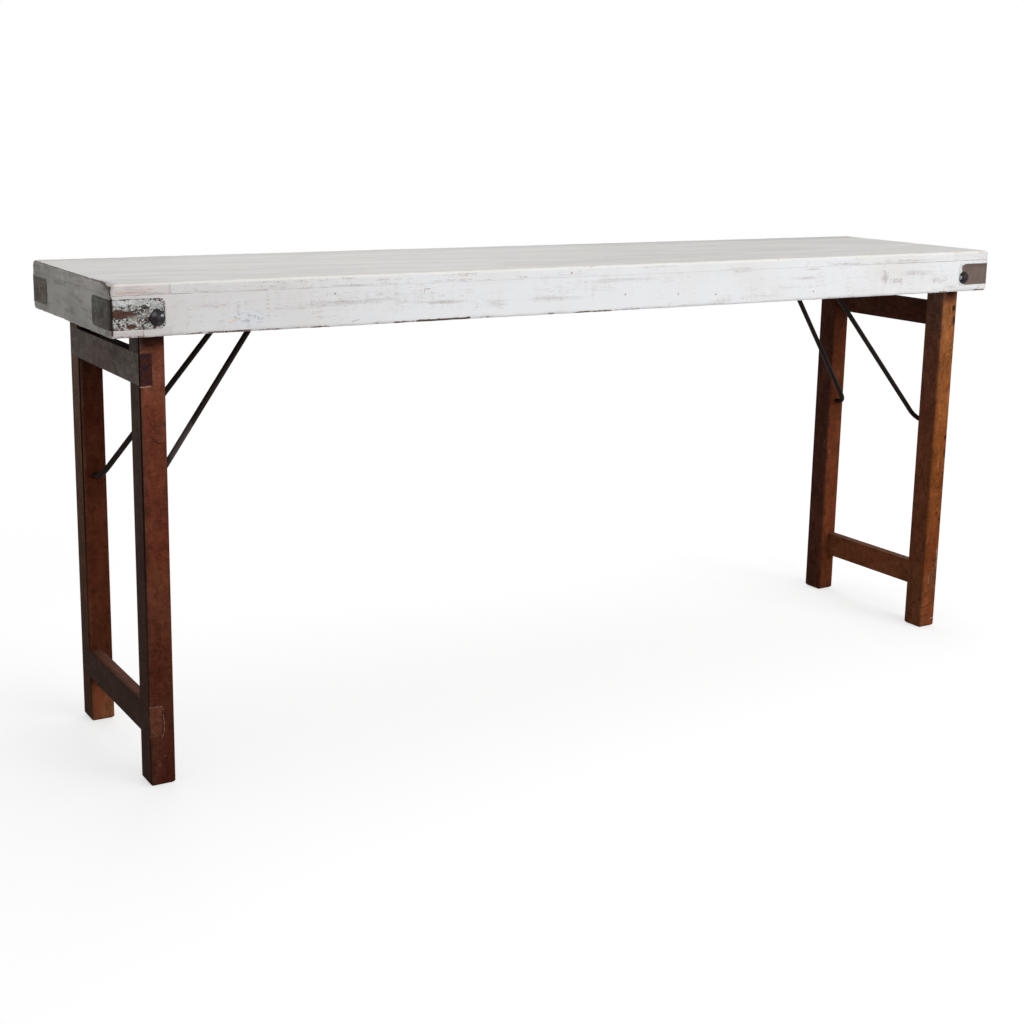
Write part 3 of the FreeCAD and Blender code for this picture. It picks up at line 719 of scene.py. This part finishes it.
def facesInside(surface, name):
    # 1 on the unpainted side of a piece: inwards for a rail and down for a board
    if name not in inwards:
        return surface.faceZ.between(-0.5, -0.9) * surface.z.between(tableLow[2] + 0.03, tableLow[2] + 0.04)
    part, sign = inwards[name]
    return getattr(surface, part).between(0.4 * sign, 0.8 * sign)


for number, (name, node, shape) in enumerate(timbers):
    wornPieces[name].data.materials.append(limewashed(name, shape["long"], 3.7 * number))
print("limewash done")

# Bare wood of the batten and the cleats

bareWood = {"light": (166, 134, 100), "dark": (112, 82, 58), "dust": (150, 138, 124), "sawMarks": 0.35}


def sawn(name, long, seed):
    surface = Surface(name, bareWood)
    rings = surface.noise(grain(long, 3, 130), seed, 4, 0.6, 0.6)
    pores = surface.noise(grain(long, 30, 1100), seed + 1.9, 3)
    saw = surface.noise(grain(long, 300, 12), seed + 4.1, 2)
    cloud = surface.noise((11.0,) * 3, seed + 6.3, 3)
    wood = surface.layered(
        "light",
        (rings.between(0.35, 0.68), "dark"),
        (pores.between(0.5, 0.7) * 0.4, "dark"),
        (cloud.between(0.45, 0.7) * 0.45, "dust"))
    height = rings * 0.3 + pores * 0.3 + saw * 0.4
    return surface.finish(wood, 0.74 + cloud * 0.14, height, bareWood["sawMarks"], Specular_IOR_Level=0.3)


dress(sawn("battenWood", 1, 2.0), "bare_wood", "centre_batten")
dress(sawn("cleatWood", 1, 8.0), "bare_wood", "keeper_cleat_left", "keeper_cleat_right")

# Varnished wood of the leg frames

# screen colours, and what the wood is multiplied by where it is lighter, darker or redder
legWood = {
    # arris: dirt on the arrises, and the painted shade on the top faces of the upper rails
    "arris": (26, 16, 12),
    "line": (206, 190, 176),
    "nick": (172, 144, 124),
    "knot": (40, 22, 16),
    "purple": (44, 33, 42),
    "lighter": (1.52, 1.5, 1.46, 1.0),
    "darker": (0.5, 0.44, 0.42, 1.0),
    "redder": (1.06, 0.82, 0.86, 1.0),
    "legTop": 757.0,
    "poreDepth": 0.3,
}
# tones up the piece, as heights in millimetres and screen colours: the faces across and along the table
# the dark tops of the legs are painted shadow under the skirt, and the light foot of the rear left leg is
# painted light below the stretcher
legTones = {
    "leg_front_left": {
        "across": [
            (0, (68, 36, 27)), (160, (79, 42, 29)), (340, (99, 54, 38)), (450, (92, 48, 34)),
            (590, (104, 58, 42)), (650, (124, 76, 58)), (684, (110, 64, 48)), (698, (58, 34, 27)),
            (714, (40, 23, 19)),
        ],
        "along": [(0, (60, 42, 34)), (400, (68, 50, 42)), (630, (76, 64, 58)), (650, (88, 79, 75))],
    },
    "leg_rear_left": {
        "across": [
            (0, (126, 80, 54)), (52, (118, 70, 45)), (80, (82, 46, 30)), (96, (80, 42, 26)),
            (330, (82, 42, 26)), (560, (66, 33, 22)), (690, (46, 26, 18)),
        ],
        "along": [(0, (64, 44, 34)), (300, (82, 58, 43)), (520, (98, 74, 60)), (650, (110, 90, 80))],
    },
    "leg_front_right": {
        "across": [
            (0, (122, 70, 42)), (200, (116, 64, 33)), (430, (136, 80, 40)), (640, (148, 96, 56)),
            (680, (140, 90, 54)), (694, (88, 54, 38)),
        ],
        "along": [(0, (100, 61, 38)), (330, (102, 60, 38)), (560, (104, 64, 48)), (700, (100, 72, 60))],
    },
    "leg_rear_right": {
        "across": [(0, (100, 54, 32)), (300, (116, 62, 39)), (560, (96, 54, 34)), (700, (58, 32, 21))],
        "along": [(0, (72, 41, 31)), (700, (68, 42, 34))],
    },
    "upper_rail_left": {"across": [(0, (80, 50, 40))], "along": [(0, (112, 104, 99))], "end": (64, 38, 34)},
    "stretcher_left": {"across": [(0, (112, 76, 62))], "along": [(0, (62, 45, 37))], "end": (98, 60, 44)},
    "upper_rail_right": {"across": [(0, (80, 48, 36))], "along": [(0, (76, 46, 36))], "end": (148, 94, 56)},
    "stretcher_right": {"across": [(0, (120, 90, 74))], "along": [(0, (112, 67, 43))], "end": (114, 68, 42)},
}
knots = {
    "leg_front_right": marksOn(legFace, 6, [
        (828, 452, 8, 5, 0.4), (845, 405, 6, 12, 0.85), (846, 372, 5, 20, 0.85), (844, 330, 4, 10, 0.7),
        (838, 300, 9, 5, 0.5), (836.4, 263, 4, 4, 0.8), (835.7, 246, 4, 5, 0.9), (844, 232, 5, 10, 0.8),
        (830, 704, 22, 12, 0.75),
    ]),
    "upper_rail_right": marksOn(legFace, 6, [
        (842, 673, 9, 12, 1.1), (845, 648, 7, 15, 1.1), (830, 668, 4, 22, 0.8), (817, 660, 3, 14, 0.5),
    ]) + [((812, 60, 640), (8, 26, 5), 0.6)],
    "upper_rail_left": marksOn(legFace, 6, [
        (-840, 678, 13, 7, 1.0), (-841, 661, 10, 8, 1.1), (-846, 652, 6, 8, 0.7), (-838, 639, 14, 5, 0.5),
    ]) + marksOn(railFace, 6, [
        (155, 657, 3, 2.4, 1.0), (153, 642, 3, 2.4, 1.0), (154, 650, 2.4, 2, 0.9), (-90, 650, 16, 2, 0.5),
    ]),
    "leg_front_left": marksOn(legFace, 6, [
        (-826, 112, 12, 4, 0.4), (-812, 574, 5, 9, 0.6), (-834, 694, 18, 7, 0.6),
    ]),
}
legScratches = {
    "leg_front_left": linesOn(legFace, [
        ([(-837, 583), (-833, 573), (-831, 568), (-824.5, 564)], 1.2, "knot"),
        ([(-834, 557.5), (-830, 549.5), (-824, 545), (-814.7, 544.7)], 1.3, "knot"),
        ([(-849, 631.9), (-842, 631.6), (-832, 632.6)], 0.65, "line"),
        ([(-849, 130.4), (-840, 130.2), (-828, 129.6)], 0.7, "nick"),
        ([(-828, 128), (-827.4, 118), (-826, 102), (-826.5, 87), (-830.5, 78)], 0.6, "nick"),
    ]),
    "upper_rail_left": linesOn(railFace, [
        ([(-77, 657.7), (-104, 656.9)], 0.6, "knot"), ([(-84, 662), (-96, 661.4)], 0.5, "knot"),
    ]),
    "leg_front_right": linesOn(legFace, [
        ([(846, 640), (840, 632)], 1.2, "line"), ([(848, 560), (849, 520)], 1.0, "line"),
        ([(849, 470), (848, 410)], 0.8, "line"), ([(845, 170), (846, 120)], 1.0, "line"),
        ([(830, 300), (846, 304)], 0.8, "knot"),
        ([(811, 44), (822, 45), (832, 48.5), (846, 55)], 1.5, "knot"),
        ([(828.9, 361), (829.7, 339)], 0.6, "line"), ([(827.6, 118), (826.2, 94)], 0.6, "line"),
        ([(840, 16), (848, 18)], 1.6, "line"),
    ]),
}


def toned(surface, tones):
    # one colour, or a ramp of colours over the height
    if len(tones) == 1:
        return colour(*tones[0][1])
    stops = [(height / legWood["legTop"], colour(*shade)) for height, shade in tones]
    return surface.node("ValToRGB", {"stops": stops}, {0: surface.z * (1000 / legWood["legTop"])})


def varnished(node, tones, long, seed):
    low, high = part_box(node)
    isLeg = node.startswith("leg")
    surface = Surface(node + "_wood", legWood)
    figure = surface.noise(grain(long, 4, 42), seed, 4, 0.55, 0.8)
    line = surface.noise(grain(long, 14, 380), seed + 1.3, 4, 0.6)
    pores = surface.noise(grain(long, 90, 1300), seed + 2.9, 2)
    cloud = surface.noise(grain(long, 13, 24), seed + 4.7, 4, 0.62, 0.5)
    mottle = surface.noise(grain(long, 55, 90), seed + 3.6, 4, 0.6, 0.4)
    flush = surface.noise(grain(long, 9, 30), seed + 7.4, 4, 0.6, 0.7)
    chatter = surface.noise(grain(long, 190, 30), seed + 6.1, 2)
    fleck = surface.noise((300.0,) * 3, seed + 8.8, 3)
    gapX = (surface.x - low.x).size() * 1000
    gapY = (surface.y - low.y).size() * 1000
    sideways = surface.faceX.size().between(0.5, 0.85)
    if isLeg:
        nearX = (gapX + (flush - 0.5) * 8.0).between(9.0, 0.0)
        nearY = (gapY + (flush - 0.5) * 6.0).between(6.0, 0.0)
        sideways = sideways * (1 - nearY * 0.4) + (1 - sideways) * nearX * 0.55
    if node.startswith("stretcher"):
        sideways = sideways + (1 - sideways) * gapX.between(9.0, 0.5) * 0.7
    wood = surface.mix(sideways, toned(surface, tones["across"]), toned(surface, tones["along"]))
    if "end" in tones:
        endward = surface.faceY.size().between(0.6, 0.85)
        endShare = endward * (cloud.between(0.25, 0.5) * 0.35 + 0.65)
        wood = surface.mix(endShare, wood, colour(*tones["end"]))
        # painted shade: the top faces of the upper rails, in shadow under the top
        if node.startswith("upper"):
            wood = surface.mix(surface.faceZ.between(0.6, 0.9) * 0.85, wood, "arris")

    # the same wood lighter and darker, in clouds, along the grain and in the pores
    lighter = surface.mix(1.0, wood, legWood["lighter"], "MULTIPLY")
    darker = surface.mix(1.0, wood, legWood["darker"], "MULTIPLY")
    redder = surface.mix(1.0, wood, legWood["redder"], "MULTIPLY")
    grime = (surface.arris(low, high).between(3.0, 0.4) + (fleck - 0.5) * 0.5
             + (cloud - 0.5) * 0.6).between(0.4, 1.0)
    wood = surface.layered(
        wood,
        (cloud.between(0.5, 0.7) * 0.8 + mottle.between(0.5, 0.68) * 0.7, lighter),
        (flush.between(0.45, 0.62) * 0.75, redder),
        (cloud.between(0.5, 0.28) * 0.7 + figure.between(0.48, 0.72) * 0.35, darker),
        (mottle.between(0.5, 0.34) * 0.6, darker),
        (line.between(0.5, 0.7) * 0.25 + pores.between(0.52, 0.7) * 0.3, darker),
        (chatter.between(0.5, 0.7) * fleck.between(0.4, 0.6) * 0.4, lighter),
        (fleck.between(0.5, 0.66) * 0.4, lighter),
        (grime * (0.3 if isLeg else 0.12), "arris"))

    # dark outer arrises, knots, scratches and a few pale nicks
    if node in ("leg_front_left", "leg_rear_left", "upper_rail_left"):
        outerArris = (gapX.most(gapY).between(3.4, 0.8) + (cloud - 0.5) * 0.8).between(0.3, 0.8)
        outerArris = outerArris * (surface.z.between(0.22, 0.4) * 0.7 + 0.3)
        wood = surface.mix(outerArris * 0.9, wood, "arris")
    nicks = (fleck * 0.7 + cloud * 0.3).between(0.66, 0.7)
    wood = surface.mix(nicks * 0.4, wood, "nick")
    if node in knots:
        shade, share = ("purple", 0.62) if node == "upper_rail_left" else ("knot", 0.85)
        marks = (surface.spots(knots[node]) + (fleck - 0.5) * 0.7 + (mottle - 0.5) * 0.7).between(0.24, 0.66)
        wood = surface.mix(marks * share, wood, shade)
    for points, width, shade in legScratches.get(node, ()):
        wood = surface.mix(surface.scratch(points, width) * fleck.between(0.36, 0.5) * 0.8, wood, shade)
    height = 0.5 + line * 0.22 + pores * 0.12 + chatter * 0.08 + cloud * 0.2 - nicks * 0.4
    return surface.finish(
        wood, 0.44 + cloud * 0.22 + grime * 0.1, height, legWood["poreDepth"], Specular_IOR_Level=0.004)


for number, (node, tones) in enumerate(legTones.items()):
    dress(varnished(node, tones, 2 if node.startswith("leg") else 1, 5.3 * number), "varnished_wood", node)
print("leg frames varnished")

# Corner irons: paint flaking from rust, or bare taupe iron

ironFinish = {
    "rust": (116, 72, 56),
    "darkRust": (56, 42, 38),
    "orange": (158, 96, 58),
    "taupe": (124, 104, 98),
    "grey": (94, 91, 86),
    "steel": (142, 146, 146),
    "sooty": (62, 56, 50),
    "worn": (128, 118, 112),
    "paint": (222, 224, 222),
    "primer": (150, 149, 144),
    "grime": (108, 105, 96),
    "bend": (26, 20, 19),
    "paintHeight": 0.5,
}
# share of paint on the side and on the end, how much of the bare metal is taupe, and the places where
# it is bare, smooth, thickly painted or lapped with paint, worn and holed
plainIron = {"bare": [], "smooth": [], "thick": [], "lapped": [], "worn": [], "holes": []}
ironStates = {
    "corner_iron_front_left": {
        **plainIron, "side": 0.52, "end": 0.12, "taupe": 0.0, "seed": 1.0,
        "bare": marksOn(ironFace, 8, [
            (-882, 745, 30, 8, 0.2), (-868, 727, 10, 6, 0.16), (-840, 738, 14, 5, 0.1),
        ]),
        "smooth": marksOn(ironFace, 8, [(-830, 756, 13, 9, 0.8)]),
        "thick": marksOn(ironFace, 8, [(-872, 762, 52, 7, 1.0), (-832, 758, 16, 9, 0.8)]),
        "worn": marksOn(ironFace, 8, [(-862, 741, 28, 7, 0.9), (-846, 747, 14, 6, 0.8)]),
        "holes": marksOn(ironEndFace, 6, [
            (-172, 744, 13, 10, 2.5), (-161, 747, 13, 14, 0.5), (-128, 728, 5, 12, 0.6),
            (-158, 765, 30, 3, 0.5),
        ]),
    },
    "corner_iron_front_right": {
        **plainIron, "side": 0.2, "end": 0.3, "taupe": 1.0, "seed": 17.0,
        "lapped": marksOn(ironFace, 8, [
            (820, 744, 11, 60, 1.0), (822, 768, 20, 11, 1.0), (822, 721, 22, 9, 1.0),
        ]),
    },
    "corner_iron_rear_left": {
        **plainIron, "side": 0.4, "end": 0.22, "taupe": 0.35, "seed": 31.0,
        "holes": marksOn(ironEndFace, 6, [(176, 742, 10, 26, 0.6), (140, 733, 14, 6, 0.4)]),
    },
    "corner_iron_rear_right": {**plainIron, "side": 0.5, "end": 0.4, "taupe": 0.6, "seed": 47.0},
}


def flaking(node, state):
    low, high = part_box(node)
    surface = Surface(node + "_finish", ironFinish)
    seed = state["seed"]
    flake = surface.noise((380.0, 380.0, 400.0), seed, 5, 0.7, 0.7)
    patch = surface.noise((95.0, 95.0, 120.0), seed + 2.0, 4, 0.55, 0.5)
    pit = surface.noise((700.0,) * 3, seed + 4.0, 3)
    streak = surface.noise((90.0, 26.0, 80.0), seed + 6.0, 4, 0.65)
    broad = surface.noise((22.0,) * 3, seed + 8.0, 3)
    endward = surface.faceX.size().between(0.5, 0.8)
    share = endward * (state["end"] - state["side"]) + state["side"]
    if state["bare"]:
        share = share - surface.spots(state["bare"])
    border = ((surface.z - low.z).size().least((surface.z - high.z).size()) * 1000).least(
        (surface.x.size() - min(abs(low.x), abs(high.x))).size() * 1000)
    cover = flake * 0.6 + patch * 0.4 + share - 0.5
    if state["thick"]:
        cover = cover + surface.spots(state["thick"]) * 0.14
    ragged = border + (patch - 0.5) * 8.0 + (flake - 0.5) * 3.0
    painted = cover.between(0.49, 0.52) * ragged.between(0.2, 0.9)
    lapped = (border.between(3.2, 1.0) + (patch - 0.5) * 1.1).between(0.66, 0.74) * state["taupe"]
    if state["lapped"]:
        lapped = lapped.most((surface.spots(state["lapped"]) + (patch - 0.5) * 1.3).between(0.34, 0.42))

    # rusty or bare metal on the side, and dirty metal on the end
    rust = surface.layered("rust", (flake.between(0.36, 0.54) * 0.9, "darkRust"))
    if state["bare"]:
        scorched = surface.spots(state["bare"]).between(0.06, 0.01) * broad.between(0.62, 0.46)
        rust = surface.layered(rust, (scorched * 0.75, "sooty"))
    rust = surface.layered(
        rust,
        (pit.between(0.5, 0.62) * 0.75, "darkRust"),
        ((patch * 0.6 + pit * 0.4).between(0.56, 0.62) * 0.6, "orange"))
    bare = surface.layered(
        "taupe",
        (patch.between(0.4, 0.7) * 0.35, rust),
        (broad.between(0.4, 0.65) * 0.3, "grey"),
        (border.between(2.2, 0.6) * 0.7, "darkRust"),
        (surface.z.between(high.z - 0.014, high.z) * 0.4, "darkRust"))
    dirty = surface.layered(
        "grime",
        ((streak * 0.5 + patch * 0.3 + broad * 0.2).between(0.42, 0.56), "sooty"),
        ((flake * 0.5 + pit * 0.5).between(0.52, 0.64) * 0.3, "primer"),
        (surface.y.size().between(0.15, 0.2) * 0.5, "sooty"))
    metal = surface.layered(
        rust,
        (state["taupe"], bare),
        (endward * (0.85 - 0.4 * state["taupe"]), dirty))

    # the old paint, with dark edges where it has flaked off
    old = surface.layered(
        "paint",
        (patch.between(0.46, 0.6) * 0.5, "primer"),
        (pit.between(0.5, 0.62) * 0.5, "grey"),
        ((flake * 0.6 + pit * 0.4).between(0.52, 0.45) * 0.35, "primer"))
    if state["smooth"]:
        old = surface.mix(surface.spots(state["smooth"]) * 0.4, old, "steel")
    edge = cover.between(0.485, 0.5) * cover.between(0.545, 0.515)
    skin = surface.layered(
        metal,
        (painted, surface.mix(edge * 0.6, old, "darkRust")),
        (lapped, "paint"))
    if state["worn"]:
        thin = (surface.spots(state["worn"]) + (patch - 0.5) * 1.2 + (flake - 0.5) * 0.8).between(0.3, 0.8)
        skin = surface.mix(thin * 0.6, skin, "worn")
    turning = surface.faceX.size()
    skin = surface.mix(turning.between(0.36, 0.48) * turning.between(0.82, 0.7) * 0.92, skin, "bend")
    if state["holes"]:
        skin = surface.mix(surface.spots(state["holes"]).between(0.1, 0.7) * 0.85, skin, "bend")
    height = painted.most(lapped) * 0.6 + flake * 0.25 + pit * 0.15
    return surface.finish(skin, 0.5 + patch * 0.3, height, ironFinish["paintHeight"], Specular_IOR_Level=0.12)


for node, state in ironStates.items():
    dress(flaking(node, state), "painted_iron", node)

# Black iron of bolts, rods, keepers and nails

blackIron = {
    "rod": (36, 27, 24),
    "bolt": (36, 33, 36),
    "scale": (16, 13, 12),
    "rust": (78, 46, 34),
    # bright is rubbed metal and the painted highlights on the bolts; sheen and rodSheen are painted sheen
    "bright": (172, 170, 172),
    "sheen": (112, 104, 112),
    "rodSheen": (78, 68, 68),
    "roughDepth": 0.35,
}
# painted highlights on the front bolts, with whitish paint at the left of the front right bolt; a painted
# sheen on the front and rear left bolts; a painted highlight along the front arm of the left brace rod
boltShine = marksOn(boltFace, 9, [
    (-825, 742, 6.0, 4.6, 1.1), (-829, 731, 8.0, 4.4, 0.6), (829, 737, 2.0, 5.0, 0.7),
]) + [((819, -211, 739), (4.4, 9, 8.0), 1.0)]
boltSheen = [((-837, -213, 744), (7.0, 9, 5.5), 1.0), ((-838, 213, 743), (6.5, 9, 5.5), 1.0)]
rodSheen = [((-758, -100, 521), (40, 30, 60), 1.0)]


def forged(name, base, seed, rusty, rubbed, metallic=0.0, gloss=0.05):
    surface = Surface(name, blackIron)
    mottle = surface.noise((90.0,) * 3, seed, 4, 0.6)
    pit = surface.noise((700.0,) * 3, seed + 3.0, 3, 0.6)
    patch = surface.noise((24.0,) * 3, seed + 5.0, 3)
    metal = surface.layered(
        base,
        (mottle.between(0.4, 0.7), "scale"),
        ((patch * 0.6 + pit * 0.4).between(0.56, 0.68) * rusty, "rust"),
        ((mottle * 0.5 + pit * 0.5).between(0.57, 0.66) * rubbed, "bright"))
    if name == "rodIron":
        # painted highlight along the brace rod
        sheen = (surface.spots(rodSheen) + mottle - 0.5).between(0.0, 0.5)
        metal = surface.layered(metal, (sheen * 0.8, "rodSheen"))
    if name == "boltIron":
        # painted highlights and sheen on the bolt heads
        shine = (surface.spots(boltShine) + pit - 0.5).between(0.45, 0.6)
        metal = surface.layered(
            metal,
            (surface.spots(boltSheen) * 0.9, "sheen"),
            (shine * 0.8, "bright"))
    height = mottle * 0.55 + pit * 0.45
    return surface.finish(
        metal, 0.36 + mottle * 0.25, height, blackIron["roughDepth"], Metallic=metallic,
        Specular_IOR_Level=gloss)


rodIron = forged("rodIron", "rod", seed=1.0, rusty=0.25, rubbed=0.05)
boltIron = forged("boltIron", "bolt", seed=9.0, rusty=0.3, rubbed=0.4, metallic=0.5, gloss=0.3)
keeperIron = forged("keeperIron", "rod", seed=19.0, rusty=0.5, rubbed=0.15, metallic=0.3, gloss=0.2)
dress(rodIron, "black_iron", "brace_rod_left", "brace_rod_right")
dress(boltIron, "black_iron", "pivot_bolts", "outer_washers", "inner_washers", "pivot_nuts")
dress(keeperIron, "black_iron", "brace_keeper_left", "brace_keeper_right", "keeper_screws")
dress(forged("nailIron", "scale", seed=27.0, rusty=0.6, rubbed=0.0), "black_iron",
      "frame_nails_left", "frame_nails_right")
dress(forged("ironNailIron", "scale", seed=33.0, rusty=0.6, rubbed=0.0), "painted_iron", "corner_iron_nails")
print("iron done")

# Floor, light and camera

stage = {
    "floorSize": 40.0,
    "floorColour": 0.6,
    "floorSeen": 0.55,
    "glow": 0.6,
    "fade": (1.3, 2.6),
    "world": 0.4,
    "lampsAim": (0.0, 0.0, 0.6),
    "lamps": [
        {"name": "frontLamp", "place": (1.15, -4.2, 2.1), "size": (4.5, 2.6), "power": 119.0},
        {"name": "topLamp", "place": (0.9, 0.4, 4.0), "size": (4.0, 3.0), "power": 26.0},
        {"name": "rearLamp", "place": (0.6, 4.5, 2.2), "size": (4.0, 2.0), "power": 60.0},
    ],
}


def seenDirectly(field):
    # 1 for rays from the camera and for what shines or passes through
    path = {kind: field.node("LightPath", {}, {}, kind) for kind in
            ("Is Camera Ray", "Is Glossy Ray", "Is Transmission Ray")}
    return path["Is Camera Ray"].most(path["Is Glossy Ray"]).most(path["Is Transmission Ray"])


half = stage["floorSize"] / 2
floorMesh = bpy.data.meshes.new("floor")
corners = [(-half, -half, 0), (half, -half, 0), (half, half, 0), (-half, half, 0)]
floorMesh.from_pydata(corners, [], [(0, 1, 2, 3)])
floor = placed("floor", floorMesh)
ground = Surface("floorPaint")
pale = (stage["floorColour"],) * 3 + (1.0,)
seenPale = (stage["floorSeen"],) * 3 + (1.0,)
matt = ground.node("BsdfDiffuse", {}, {"Color": pale})
seenMatt = ground.node("BsdfDiffuse", {}, {"Color": seenPale})
glow = ground.node("Emission", {}, {"Strength": stage["glow"]})
seen = ground.node("AddShader", {}, {0: seenMatt, 1: glow})
outside = ground.vector("LENGTH", {0: ground.at}, 1)
paper = ground.node("Emission", {}, {"Strength": 1.0})
seen = ground.node("MixShader", {}, {0: outside.between(*stage["fade"]), 1: seen, 2: paper})
either = ground.node("MixShader", {}, {0: seenDirectly(ground.at), 1: matt, 2: seen})
ground.node("OutputMaterial", {}, {"Surface": either})
floorMesh.materials.append(ground.material)

world = bpy.data.worlds.new("studio")
bpy.context.scene.world = world
world.use_nodes = True
world.node_tree.nodes.clear()
sky = Field(world.node_tree, None)
strength = seenDirectly(sky) * (1.0 - stage["world"]) + stage["world"]
backdrop = sky.node("Background", {}, {"Color": (1.0, 1.0, 1.0, 1.0), "Strength": strength})
sky.node("OutputWorld", {}, {"Surface": backdrop})

aim = Vector(stage["lampsAim"])
for lamp in stage["lamps"]:
    light = bpy.data.lights.new(lamp["name"], "AREA")
    light.shape = "RECTANGLE"
    light.size, light.size_y = lamp["size"]
    light.energy = lamp["power"]
    holder = placed(lamp["name"], light)
    holder.location = lamp["place"]
    holder.rotation_euler = (aim - holder.location).to_track_quat("-Z", "Y").to_euler()

# angles in degrees, and the focal length and the optical axis in pixels of a square picture
camera = {
    "place": (-1.5789, -2.4271, 1.0303),
    "yaw": 31.680,
    "down": 11.508,
    "roll": 1.087,
    "focal": 1574.88,
    "axis": (517.51, 440.65),
    "picture": 1024,
}
lens = bpy.data.cameras.new("camera")
lens.sensor_width = 36.0
lens.lens = camera["focal"] * lens.sensor_width / camera["picture"]
lens.shift_x = 0.5 - camera["axis"][0] / camera["picture"]
lens.shift_y = camera["axis"][1] / camera["picture"] - 0.5
viewer = placed("camera", lens)
yaw, down, roll = (np.radians(camera[name]) for name in ("yaw", "down", "roll"))
ahead = Vector((np.sin(yaw) * np.cos(down), np.cos(yaw) * np.cos(down), -np.sin(down)))
level = Vector((np.cos(yaw), -np.sin(yaw), 0.0))
upright = level.cross(ahead)
right = level * np.cos(roll) + upright * np.sin(roll)
above = upright * np.cos(roll) - level * np.sin(roll)
turned = Matrix((right, above, -ahead)).transposed().to_4x4()
viewer.matrix_world = Matrix.Translation(camera["place"]) @ turned
bpy.context.scene.camera = viewer
bpy.context.scene.view_settings.view_transform = "Standard"
print("stage set")
